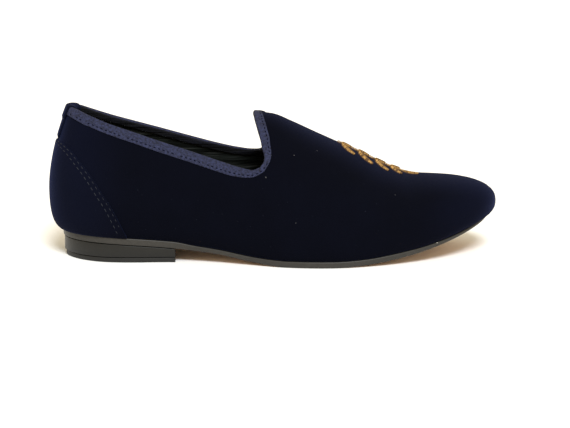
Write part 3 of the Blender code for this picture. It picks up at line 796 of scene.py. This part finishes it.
def velvet(name, lift):
    dark, light = ((*[c * lift for c in velvetLook[key]], 1) for key in ("dark", "light"))
    material, tree, shader, pile = newMaterial(
        name,
        pileSheenGroup,
        {
            "Dark": dark,
            "Light": light,
            "Nap Height": velvetLook["nap"],
            "Sheen Up Share": velvetLook["sheenUpShare"],
            "Sheen End Share": velvetLook["sheenEndShare"],
        },
        {
            "Roughness": 0.95,
            "Specular IOR Level": 0.04,
            "Sheen Weight": velvetLook["sheen"],
            "Sheen Roughness": velvetLook["sheenRoughness"],
            "Sheen Tint": velvetLook["sheenTint"],
        },
    )
    # Painted sheen: the colour is mixed towards the lighter blue edge colour where the surface turns from the
    # view, scaled by the tilt mask, and more at heel and toe.
    turned = add(tree, "ShaderNodeLayerWeight", {"Blend": 0.5}).outputs["Facing"]
    fromSide = mapRange(tree, turned, (velvetLook["sheenStart"], 1.0, 0.0, 1.0), "SMOOTHSTEP")
    paintedSheen = calc(tree, "ADD", calc(tree, "MULTIPLY", fromSide, pile["Brush"]), pile["Sheen Ends"])
    feed(tree, mixColours(tree, paintedSheen, pile["Color"], velvetLook["edge"]), shader["Base Color"])
    return material


# Base and worn colour, the grain's scale and depth, roughness, metallic share, specular level.
finishes = {
    "lining": ((0.006, 0.008, 0.0075), (0.017, 0.021, 0.018), 700.0, 0.25, 0.55, 0.0, 0.3),
    "soleEdge": ((0.019, 0.018, 0.016), (0.039, 0.036, 0.032), 400.0, 0.25, 0.42, 0.0, 0.3),
    "soleUnder": ((0.30, 0.16, 0.07), (0.42, 0.24, 0.12), 260.0, 0.2, 0.45, 0.0, 0.5),
    "heelStack": ((0.003, 0.003, 0.0027), (0.0085, 0.0083, 0.0072), 400.0, 0.25, 0.42, 0.0, 0.36),
    "heelRubber": ((0.005, 0.005, 0.005), (0.012, 0.012, 0.0116), 500.0, 0.3, 0.54, 0.0, 0.38),
    "sock": ((0.010, 0.010, 0.009), (0.022, 0.022, 0.019), 500.0, 0.3, 0.45, 0.0, 0.5),
    "goldThread": ((0.12, 0.055, 0.010), (0.84, 0.49, 0.14), 620.0, 0.4, 0.42, 0.3, 0.5),
    # A darker copy of the gold thread: painted shade on one side of each leaf's vein.
    "goldThreadShadeSide": ((0.05, 0.022, 0.006), (0.26, 0.13, 0.035), 620.0, 0.4, 0.5, 0.2, 0.5),
    # Dark ground thread round the leaves: partly real thread, partly painted shade at their edges.
    "groundThreadShade": ((0.030, 0.012, 0.005), (0.07, 0.030, 0.010), 1400.0, 0.3, 0.8, 0.0, 0.5),
    "lint": ((0.05, 0.05, 0.055), (0.13, 0.13, 0.14), 900.0, 0.2, 0.9, 0.0, 0.5),
    # Pale dried glue: the glue beads' own colour lifted to a painted glint.
    "driedGlueGlint": ((0.45, 0.44, 0.40), (0.62, 0.60, 0.56), 300.0, 0.1, 0.15, 0.0, 0.5),
    "seamThread": ((0.004, 0.006, 0.012), (0.012, 0.015, 0.026), 1400.0, 0.3, 0.8, 0.0, 0.5),
    "bindThread": ((0.0012, 0.0016, 0.007), (0.0035, 0.0045, 0.016), 1400.0, 0.3, 0.9, 0.0, 0.05),
}

# Colours of the ribs' troughs (painted shade) and tops, the ribs' depth, roughness.
tapes = {
    "bindingTape": ((0.0018, 0.0024, 0.010), (0.021, 0.0265, 0.074), 0.8, 0.8),
    # The inside leg's tape is the same grosgrain made darker: painted shade inside the collar.
    "bindingInsideShade": ((0.0005, 0.0007, 0.0021), (0.0034, 0.0044, 0.0135), 0.6, 0.9),
}
ribPitch = 0.85

# How much lighter each velvet piece is than the upper's own.
velvets = {"velvet": 1.0, "velvetPanel": 1.3, "velvetStrip": 1.2}

# How close the creases lie up the wall, how deep they look, and how dark the painted shade in their troughs
# is.
creases = {"lining": (230.0, 0.003, 0.35), "bindingInsideShade": (420.0, 0.0016, 0.3)}

looks = {name: velvet(name, lift) for name, lift in velvets.items()}
for name, (base, worn, scale, depth, roughness, metallic, specular) in finishes.items():
    looks[name] = newMaterial(
        name,
        grainGroup,
        {"Base": (*base, 1), "Worn": (*worn, 1), "Scale": scale, "Depth": depth},
        {"Roughness": roughness, "Metallic": metallic, "Specular IOR Level": specular},
    )[0]
for name, (low, high, depth, roughness) in tapes.items():
    looks[name] = newMaterial(
        name,
        ribGroup,
        {"Low": (*low, 1), "High": (*high, 1), "Pitch": ribPitch, "Depth": depth},
        {"Roughness": roughness, "Specular IOR Level": 0.3},
    )[0]
for name, (across, deep, troughShade) in creases.items():
    tree = looks[name].node_tree
    shader = tree.nodes["Principled BSDF"].inputs
    colour, normal = (shader[key].links[0].from_socket for key in ("Base Color", "Normal"))
    crease = add(tree, "ShaderNodeGroup", {"Across": across, "Trough Shade": troughShade}, node_tree=creaseGroup).outputs
    # Painted shade: the colour is darkened in the creases' troughs.
    feed(tree, mixColours(tree, 1.0, colour, crease["Shade"], "MULTIPLY"), shader["Base Color"])
    creased = bumpFrom(tree, crease["Height"], 1.0, deep)
    feed(tree, normal, creased.inputs["Normal"])
    feed(tree, creased.outputs[0], shader["Normal"])
print("materials done")

# The upper: a velvet shell outside and a lining shell inside.
shellSplit = 1.0


def shellObject(name, outside, inside, material):
    return sweep(name, np.concatenate([outside, inside[:, ::-1]], axis=1), True, [material])


flatOut = unit(normals[:, 0] * [1, 1, 0])


def inset(depth):
    moved = grid - normals * depth
    moved[:, 0] = grid[:, 0] - flatOut * depth
    return moved


keepRows = [r for r in range(grid.shape[1]) if r % 3 == 0 or r > bindRow - 2]
middleWall = inset(shellSplit)[:, keepRows]
ride(shellObject("velvetUpper", cloth, middleWall, looks["velvet"]), "velvet", "upper")
liningOut, liningIn = inset(shellSplit + 0.05)[:, keepRows], inset(shoe["wall"])[:, keepRows]
ride(shellObject("lining", liningOut, liningIn, looks["lining"]), "lining_leather")
print("upper done")

# The binding: tape folded over the edge, fuller in the middle of each leg.
bindingShape = {"thickness": 0.5, "puff": 0.12, "innerShare": 0.6, "insideShadeRows": range(14, 22)}


def bindingSections():
    near, far = shoe["gap"] * 0.3, shoe["gap"] + bindingShape["thickness"]
    low, top = grid[:, bindRow], grid[:, -1]
    lowOut, topOut = normals[:, bindRow], normals[:, -2]
    over = unit(top - grid[:, -3])
    wall = shoe["wall"]
    sections = []
    for t in (0.0, 0.0, 0.03, 0.1, 0.3, 0.5, 0.7, 0.88, 1.0):
        out = lowOut * (1 - t) + topOut * t
        lift = far * 0.75 if t == 0 else far + bindingShape["puff"] * 4 * t * (1 - t)
        sections.append(low + (top - low) * t + out * (lift if sections else near))
    centre = top - topOut * wall / 2
    radius = wall / 2 + far
    for angle in (25, 50, 75, 90, 105, 130, 155):
        turn = math.radians(angle)
        sections.append(centre + topOut * radius * math.cos(turn) + over * far * 1.1 * math.sin(turn))
    innerLow = top + (low - top) * bindingShape["innerShare"]
    for t in (1.0, 0.8, 0.5, 0.2, 0.0):
        out = lowOut * (1 - t) + topOut * t
        lift = -(wall + far + 0.6 * bindingShape["puff"] * 4 * t * (1 - t))
        sections.append(innerLow + (top - innerLow) * t + out * lift)
    sections.append(innerLow - lowOut * (wall + near))
    sections.append(top - topOut * (wall + near))
    sections.append(top + topOut * near)
    return np.stack(sections, axis=1)


bindingRing = bindingSections()
# The inside leg's sections take the darker tape: painted shade.
insideShadeMarks = [int(k in bindingShape["insideShadeRows"]) for k in range(bindingRing.shape[1])]
bindingLooks = [looks["bindingTape"], looks["bindingInsideShade"]]
ride(sweep("bindingTape", bindingRing, True, bindingLooks, insideShadeMarks), "binding_tape", "topline_binding")
print("binding done")


def rearFrame(places, rows=120):
    # Full heel sections at places, each a side and a position, with their outward directions.
    columns = []
    for side, position in places:
        lower = lowerWall(side, position, np.linspace(0, 1, rows // 2))
        whole = np.vstack([lower, quarterSection(side, position)[1:]])
        columns.append(spread(whole, np.linspace(0, 1, rows)))
    columns = np.array(columns)
    facing = unit(np.cross(np.gradient(columns, axis=0), np.gradient(columns, axis=1)))
    if ((columns - [shoe["heelCentre"], 0, 50.0]) * facing).sum() < 0:
        facing = -facing
    return columns, facing


def along(values, rows):
    steps = np.arange(len(values))
    return np.column_stack([np.interp(rows, steps, values[:, i]) for i in range(3)])


counterShape = {
    "thickness": 0.8,
    "start": 1.5,
    "rows": 44,
    "frontStations": [34 + 1.5 * i for i in range(9)] + [47.2, 48.4, 49.5, 50.5, 51.4, 52.2, 52.9, 53.5],
    "fan": 22,
}


def counterPlaces():
    fan, stations = counterShape["fan"], counterShape["frontStations"]
    places = [[(side, p) for p in quarterPositions(side, fan, stations)] for side in (-1, 1)]
    return [*places[0][::-1], *places[1][1:]]


counterColumns, counterFacing = rearFrame(counterPlaces())


def buildCounter():
    gap, thick = shoe["gap"] * 0.4, shoe["gap"] + counterShape["thickness"]
    sections = []
    for points, facing in zip(counterColumns, counterFacing):
        excess = points[:, 2] - counterHeight(points[:, 0])
        end = np.interp(0.0, excess, np.arange(len(points)))
        height = max(end - counterShape["start"], 1.5)
        at = counterShape["start"] + height * np.linspace(0, 1, counterShape["rows"]) ** 1.2
        low, out = along(points, at), along(facing, at)
        # The edge of the panel rolls down to the quarter over its last millimetre.
        fromEdge = np.linalg.norm(low - low[-1], axis=1)
        lift = gap + (thick - gap) * np.sqrt(np.clip(1 - (1 - np.clip(fromEdge / 1.1, 0, 1)) ** 2, 0.02, 1))
        sections.append(np.vstack([low + out * lift[:, None], (low + out * gap)[::-1][::4]]))
    return sweep("counterPanel", sections, False, [looks["velvetPanel"]])


ride(buildCounter(), "velvet_panel", "heel_counter")

tabShape = {
    "halfWidth": 9.0,
    "middle": 2.0,
    "slack": 1.2,
    "thickness": 0.8,
    "bottom": 77.0,
    "innerDrop": 12.0,
    "columns": 25,
}


def buildTab():
    angles = np.radians(np.linspace(-62, 62, 63))
    places = [(-1 if a < 0 else 1, np.interp(abs(a), *rearAngles[-1 if a < 0 else 1])) for a in angles]
    columns, facingAll = rearFrame(places)
    clear = 2 * shoe["gap"] + bindingShape["thickness"]
    rows = np.arange(columns.shape[1])
    sections = []
    reach = tabShape["halfWidth"]
    for y in tabShape["middle"] + np.linspace(-reach, reach, tabShape["columns"]):
        points, facing = (
            np.array([[np.interp(y, columns[:, r, 1], values[:, r, i]) for i in range(3)] for r in rows])
            for values in (columns, facingAll)
        )
        heights = points[:, 2]
        top = heights[-1]
        bound = top - upperMesh["bindingWidth"]
        spans = ((tabShape["bottom"], bound - 2.2, 10), (bound - 1.8, bound - 0.4, 4), (bound + 0.4, top, 8))
        levels = np.concatenate([np.linspace(*span) for span in spans])
        at = np.interp(levels, heights, rows)
        outer, out = along(points, at), along(facing, at)
        lifts = shoe["gap"] + (clear - shoe["gap"]) * np.clip((levels - (bound - 2.2)) / 1.8, 0, 1)
        fromSide = reach - abs(y - tabShape["middle"])
        roll = math.sqrt(max(0.05, 1 - (1 - min(fromSide / 1.0, 1)) ** 2))
        fromEnd = np.clip((levels - tabShape["bottom"]) / 1.0, 0, 1)
        thick = tabShape["thickness"] * roll * np.sqrt(np.clip(1 - (1 - fromEnd) ** 2, 0.05, 1))
        up = unit(points[-1] - points[-3])
        innerRows = np.interp([top, top - 4, top - 8, top - tabShape["innerDrop"]], heights, rows)
        inward = along(facing, innerRows)
        slack = tabShape["slack"] * np.array([1.0, 1.0, 0.5, 0.0])[:, None]
        inner = along(points, innerRows) - inward * (shoe["wall"] + slack)
        centre = (outer[-1] + inner[0]) / 2
        half = np.linalg.norm(outer[-1] - inner[0]) / 2
        arc = []
        for turn in np.radians([20, 45, 70, 90, 110, 135, 160]):
            over = clear + tabShape["thickness"] * roll
            arc.append(centre + out[-1] * (half + over) * math.cos(turn) + up * over * math.sin(turn))
        sections.append(
            [
                *(outer + out * (lifts + thick)[:, None]),
                *arc,
                *(inner - inward * (clear + tabShape["thickness"] * roll)),
                *(inner - inward * clear)[::-1],
                *(outer + out * lifts[:, None])[::-1],
            ]
        )
    return sweep("heelTab", sections, False, [looks["velvetStrip"]])


ride(buildTab(), "velvet_strip", "heel_tab")
print("counter and tab done")


def threads(name, paths, facings, width, height, *materials, shades=None):
    # Short threads lying on a surface: each follows its own path and thins out at both ends.
    points, faces = [], []
    for path, out in zip(paths, facings):
        path = spread(np.asarray(path), (0.0, 0.08, 0.3, 0.5, 0.7, 0.92, 1.0))
        across = unit(np.cross(path[-1] - path[0], out), 1e-9)
        first = len(points)
        for middle, size in zip(path, (0.25, 0.8, 1.0, 1.0, 1.0, 0.8, 0.25)):
            for k in range(6):
                turn = 2 * math.pi * k / 6
                side, lift = width / 2 * size * math.cos(turn), height / 2 * size * math.sin(turn)
                points.append(middle + across * side + out * lift)
        faces += tubeFaces(len(path), 6, first=first)
    marks = None if shades is None else np.repeat(shades, len(faces) // len(shades)).tolist()
    return finishMesh(name, points, faces, materials, marks)


def stitchesAlong(path, outs, pitch, length, lift):
    # Even stitches along a path with its outward directions.
    run = runOf(path)
    starts = np.arange(pitch / 2, run[-1] - length, pitch)

    def at(distance, values):
        return np.column_stack([np.interp(distance, run, values[:, i]) for i in range(3)])

    facing = unit(at(starts + length / 2, outs))
    return at(starts, path) + facing * lift, at(starts + length, path) + facing * lift, facing


seamStitch = {"pitch": 4.0, "length": 2.2, "width": 0.42, "height": 0.3, "insets": (1.2, 4.0), "sunk": 0.1}


def buildSeamStitches():
    # Two rows beside the counter's front edge: where each heel section is that far inside it.
    paths, outs = [], []
    for insetBy in seamStitch["insets"]:
        path, facings = [], []
        for points, facing in zip(counterColumns, counterFacing):
            excess = points[:, 2] + 0.25 * insetBy - counterHeight(points[:, 0] + insetBy)
            at = [np.interp(0.0, excess, np.arange(len(points)))]
            if at[0] > counterShape["start"] + 1:
                path.append(along(points, at)[0])
                facings.append(along(facing, at)[0])
        sunk = seamStitch["sunk"] if insetBy < 2 else 0
        lift = shoe["gap"] + counterShape["thickness"] - sunk
        rows = np.array(path), np.array(facings)
        starts, ends, out = stitchesAlong(*rows, seamStitch["pitch"], seamStitch["length"], lift)
        paths.extend(zip(starts, ends))
        outs.extend(out)
    size = seamStitch["width"], seamStitch["height"]
    return threads("counterStitches", paths, outs, *size, looks["seamThread"])


ride(buildSeamStitches(), "velvet_panel")

bindStitch = {"pitch": 3.0, "length": 1.5, "width": 0.7, "height": 0.4, "share": 0.3}


def buildBindingStitches():
    share = bindStitch["share"]
    path = grid[:, bindRow] * (1 - share) + grid[:, -1] * share
    facing = normals[:, bindRow] * (1 - share) + normals[:, -2] * share
    lift = shoe["gap"] + bindingShape["thickness"] + bindingShape["puff"] * 4 * share * (1 - share)
    closedPath, closedFacing = np.vstack([path, path[:1]]), np.vstack([facing, facing[:1]])
    starts, ends, outs = stitchesAlong(
        closedPath, closedFacing, bindStitch["pitch"], bindStitch["length"], lift
    )
    # None under the heel tab, and a few that have sunk out of sight in the tape.
    clear = [
        i
        for i, p in enumerate(starts)
        if not (p[0] < 24 and -9 < p[1] < 13) and random.random() > 0.14
    ]
    paths, facings = [(starts[i], ends[i]) for i in clear], [outs[i] for i in clear]
    size = bindStitch["width"], bindStitch["height"]
    return threads("bindingStitches", paths, facings, *size, looks["bindThread"])


ride(buildBindingStitches(), "binding_tape")
print("stitches done")


def rimmedPlate(name, outline, rim, topOf, bottomOf, materials, underRings=0, flatEnd=False):
    # A plate: rings of the outline run over the top, round its edge and back under it.
    low, high = outline[:, 0].min(), outline[:, 0].max()
    centreLine = monotone(((low, 0.0), (low + 60, 0.5), (high - 60, 0.5), (high, 4.0)), 1)
    stations = np.clip(outline[:, 0], low + 26, high if flatEnd else high - 30)
    middle = np.column_stack([stations, centreLine(stations)])
    inward = outline - offsetOutline(outline, 1.0)
    flatEdge = outline + inward * rim[-1][0]
    rings = []
    for surface, sign in ((topOf, -1), (bottomOf, 1)):
        plate = []
        for share in (0.0, 0.25, 0.5, 0.75):
            plan = middle + (flatEdge - middle) * share
            plate.append(np.column_stack([plan, surface(plan[:, 0])]))
        for depth, drop in rim[::-1]:
            plan = outline + inward * depth
            plate.append(np.column_stack([plan, surface(plan[:, 0]) + sign * drop]))
        rings += plate[::-sign]
    faces = tubeFaces(len(rings), len(outline), capped=False)
    underside = len(rings) - 1 - underRings
    marks = [int(r >= underside) for r in range(len(rings) - 1) for _ in outline]
    return finishMesh(name, np.concatenate(rings), faces, materials, marks, merge=0.02)


def rounded(radius, steps=4):
    # How far in from the side, and how far from the flat, for points round an edge.
    turns = np.linspace(0, math.pi / 2, steps + 1)
    return [(radius * (1 - math.cos(t)), radius * (1 - math.sin(t))) for t in turns]


soleLooks = [looks["soleEdge"], looks["soleUnder"]]
ride(
    rimmedPlate("outsole", soleOutline, rounded(0.6), soleTop, underSole, soleLooks, underRings=4),
    "sole_leather",
    "outsole",
)

heelShape = {"groove": 0.5, "edge": 0.22}


def heelOutline(margins):
    outline = withMargin(margins)
    breast = shoe["heelBreast"]
    sides = {side: halfOf(outline, side)[::-1] for side in (-1, 1)}
    rear = [p for p in sides[-1][::-1] if p[0] < breast - 0.5]
    rear += [p for p in sides[1][1:] if p[0] < breast - 0.5]
    last = {s: np.interp(breast, sides[s][:, 0], sides[s][:, 1]) for s in (-1, 1)}
    front = [(breast - 0.3, last[1]), (breast, last[1] - 0.6)]
    front += [(breast, last[1] + (last[-1] - last[1]) * t) for t in np.linspace(0.05, 0.95, 12)]
    front += [(breast, last[-1] + 0.6), (breast - 0.3, last[-1])]
    return np.array([*rear, *front])


def levelAt(height):
    return lambda station: np.full(np.shape(station), float(height))


ride(
    rimmedPlate(
        "heelBlock",
        heelOutline(shoe["blockMargins"]),
        rounded(heelShape["edge"], 3),
        lambda station: underSole(station) - heelShape["groove"],
        levelAt(shoe["topPieceHeight"] + heelShape["groove"] / 2),
        [looks["heelStack"]],
        flatEnd=True,
    ),
    "heel_stack",
    "heel_block",
)
ride(
    rimmedPlate(
        "heelTopPiece",
        heelOutline(shoe["topPieceMargins"]),
        rounded(heelShape["edge"], 3),
        levelAt(shoe["topPieceHeight"] - heelShape["groove"] / 2),
        levelAt(0.0),
        [looks["heelRubber"]],
        flatEnd=True,
    ),
    "heel_rubber",
    "heel_top_piece",
)
ride(
    rimmedPlate(
        "sock",
        offsetOutline(feather, -(shoe["wall"] + 0.6)),
        rounded(0.9),
        lambda station: soleTop(station) + shoe["gap"] + shoe["insoleThickness"],
        lambda station: soleTop(station) + shoe["gap"],
        [looks["sock"]],
    ),
    "lining_leather",
    "insole",
)
print("sole, heel and sock done")

# Gold thread embroidery: a plain leafy sprig, a stem on the ridge with paired
# leaves. Each leaf has a vein, with satin stitches laid from it to both edges: station, distance
# from the ridge, half width. A leaf on the ridge itself is made once.
sprays = (
    ((190.0, 0.0, 0.6), (204.0, 0.0, 0.8), (218.0, 0.0, 0.8), (231.6, 0.0, 0.6)),
    ((232.4, 0.0, 0.5), (235.6, 0.0, 1.9), (239.2, 0.0, 1.6), (243.0, 0.0, 0.4)),
    ((193.4, 2.2, 0.5), (194.6, 6.0, 1.6), (196.8, 10.0, 1.7), (200.2, 13.4, 0.4)),
    ((204.4, 2.2, 0.5), (205.6, 6.6, 1.8), (208.0, 11.4, 1.9), (211.8, 15.6, 0.4)),
    ((215.4, 2.2, 0.5), (216.6, 6.0, 1.7), (218.8, 10.0, 1.8), (222.4, 13.6, 0.4)),
    ((225.4, 1.9, 0.5), (226.6, 4.6, 1.4), (228.6, 7.4, 1.4), (231.6, 9.8, 0.4)),
)

embroidery = {"pitch": 0.66, "thread": 0.56, "dome": 1.0, "slant": 0.5, "vein": 0.2, "border": 0.55}


def overLast(station, across):
    point = np.array([station, across, lastTop(station, across)])
    return point, unit(lastNormal(station, across, 0.8))


def leafFrames(leaf, pitch):
    # Points of a leaf's vein in plan, with its direction and half width, evenly spaced.
    leaf = np.array(leaf)
    knots = runOf(leaf[:, :2])
    curves = [monotone(np.column_stack([knots, leaf[:, i]]), 1) for i in range(3)]
    for distance in np.arange(0, knots[-1], pitch):
        place = np.array([float(c(distance)) for c in curves[:2]])
        ahead = np.array([float(c(distance + 0.3)) - float(c(distance - 0.3)) for c in curves[:2]])
        yield place, unit(ahead, 1e-9), float(curves[2](distance))


def buildEmbroidery():
    paths, outs, shades = [], [], []
    for leaf in sprays:
        sides = (-1, 1) if leaf[1][1] else (-1,)
        for place, ahead, half in leafFrames(leaf, embroidery["pitch"]):
            for edge in (-1, 1):
                across = unit(np.array([-ahead[1], ahead[0]]) * edge + ahead * embroidery["slant"])
                reach = half * random.uniform(0.92, 1.1)
                for side in sides:
                    strip = []
                    for share in (0.0, 0.35, 0.7, 1.0):
                        spot = place + across * (embroidery["vein"] + reach * share)
                        ridge = float(ridgeSide(spot[0]))
                        point, out = overLast(spot[0], ridge + side * spot[1])
                        strip.append(point + out * (0.3 + embroidery["dome"] * (1 - share**2)))
                    paths.append(strip)
                    outs.append(out)
                    # One side of the vein, and one stitch in five at random, takes the darker gold: painted
                    # shade.
                    shades.append(int(edge < 0 or random.random() < 0.2))
    golds = looks["goldThread"], looks["goldThreadShadeSide"]
    return threads("goldEmbroidery", paths, outs, *[embroidery["thread"]] * 2, *golds, shades=shades)


def buildEmbroideryBase():
    # A dark padded ground under each leaf shows as its outline: partly a dark couching thread, partly painted
    # shade along the leaves' edges.
    points, faces = [], []
    for leaf in sprays:
        for side in (-1, 1) if leaf[1][1] else (-1,):
            first, count = len(points), 0
            for place, ahead, half in leafFrames(leaf, 0.8):
                across = np.array([-ahead[1], ahead[0]])
                for share, lift in ((-1, -0.2), (-0.96, 0.28), (0, 0.5), (0.96, 0.28), (1, -0.2)):
                    spot = place + across * share * (half + embroidery["border"])
                    point, out = overLast(spot[0], float(ridgeSide(spot[0])) + side * spot[1])
                    points.append(point + out * lift)
                count += 1
            faces += tubeFaces(count, 5, first=first)
    return finishMesh("embroideryGroundShade", points, faces, [looks["groundThreadShade"]])


ride(buildEmbroidery(), "velvet")
ride(buildEmbroideryBase(), "velvet")
print("embroidery done")


# Lint caught in the pile of the outer side, and two beads of dried glue on the sole's edge, made pale as
# painted glints.
# station, height, size
lintSpots = (
    (142.5, 57.0, 1.0),
    (160.6, 69.6, 0.7),
    (175.5, 71.1, 0.6),
    (225.0, 43.9, 0.5),
    (161.0, 30.0, 0.4),
)
glueGlintSpots = ((252.6, 0.9), (15.2, 1.1))  # station, length


def onOuterSide(station, height):
    # The point of the last's outer side at a station and a height.
    low, high = 0.0, 70.0
    for _ in range(24):
        away = (low + high) / 2
        low, high = (away, high) if lastTop(station, ridgeSide(station) - away) > height else (low, away)
    return overLast(station, float(ridgeSide(station)) - low)


def buildLint():
    paths, outs = [], []
    for station, height, size in lintSpots:
        point, out = onOuterSide(station, height)
        for _ in range(5):
            turn = random.uniform(0, math.pi)
            reach = np.array([math.cos(turn), 0, math.sin(turn)]) * size * random.uniform(0.35, 0.7)
            paths.append((point + out * 0.1 - reach, point + out * 0.45, point + out * 0.1 + reach))
            outs.append(out)
    return threads("lint", paths, outs, 0.24, 0.2, looks["lint"])


def buildGlueGlints():
    paths, outs = [], []
    outer = soleOutline[: heelIndex + 1]
    for station, length in glueGlintSpots:
        i = int(np.argmin(np.abs(outer[:, 0] - station)))
        ends = []
        for j in (i - 1, i + 1):
            ahead = unit(outer[j] - outer[i]) * length / 2
            ends.append(np.array([*(outer[i] + ahead), float(soleTop(station)) - 0.3]))
        paths.append(ends)
        outs.append(np.array([0.0, -1.0, 0.3]))
    return threads("glueGlintBeads", paths, outs, 0.55, 0.5, looks["driedGlueGlint"])


ride(buildLint(), "velvet")
ride(buildGlueGlints(), "sole_leather")

# Floor, light and camera.
studio = {
    "floor": (0.95, 0.95, 0.95, 1),
    "surround": (1.0, 0.87, 0.64, 1),
    "surroundStrength": 0.85,
    "sun": (0.90, 0.95, 1.0),
    "sunStrength": 3.3,
    "sunSpread": 20.0,
    "sunDirection": (-0.10, 0.74, -0.78),
}
floorMesh = bpy.data.meshes.new("floor")
floorMesh.from_pydata([(-6, -6, 0), (6, -6, 0), (6, 6, 0), (-6, 6, 0)], [], [(0, 1, 2, 3)])
floorMaterial = bpy.data.materials.new("floor")
floorMaterial.use_nodes = True
floorShader = floorMaterial.node_tree.nodes["Principled BSDF"].inputs
floorShader["Base Color"].default_value = studio["floor"]
floorShader["Roughness"].default_value = 0.9
floorShader["Specular IOR Level"].default_value = 0.0
floorMesh.materials.append(floorMaterial)
addObject("floor", floorMesh)

world = bpy.data.worlds.new("studio")
bpy.context.scene.world = world
world.use_nodes = True
backdrop = world.node_tree.nodes["Background"].inputs
backdrop["Color"].default_value = studio["surround"]
backdrop["Strength"].default_value = studio["surroundStrength"]

sun = bpy.data.lights.new("overhead", "SUN")
sun.energy = studio["sunStrength"]
sun.angle = math.radians(studio["sunSpread"])
sun.color = studio["sun"]
sunAim = Vector(studio["sunDirection"]).to_track_quat("-Z", "Y")
addObject("overhead", sun).rotation_euler = sunAim.to_euler()

view = {"elevation": 12.0, "yaw": 2.0, "distance": 1.4, "target": (0.0073, 0.0, 0.0251), "focal": 135.3}
elevation, yaw = math.radians(view["elevation"]), math.radians(view["yaw"])
ahead = math.cos(elevation)
look = Vector((math.sin(yaw) * ahead, math.cos(yaw) * ahead, -math.sin(elevation)))
cameraData = bpy.data.cameras.new("camera")
cameraData.lens = view["focal"]
cameraData.sensor_width = 36.0
camera = addObject("camera", cameraData)
camera.location = Vector(view["target"]) - look * view["distance"]
camera.rotation_euler = look.to_track_quat("-Z", "Y").to_euler()
bpy.context.scene.camera = camera
bpy.context.scene.view_settings.view_transform = "Standard"
print("stage done")
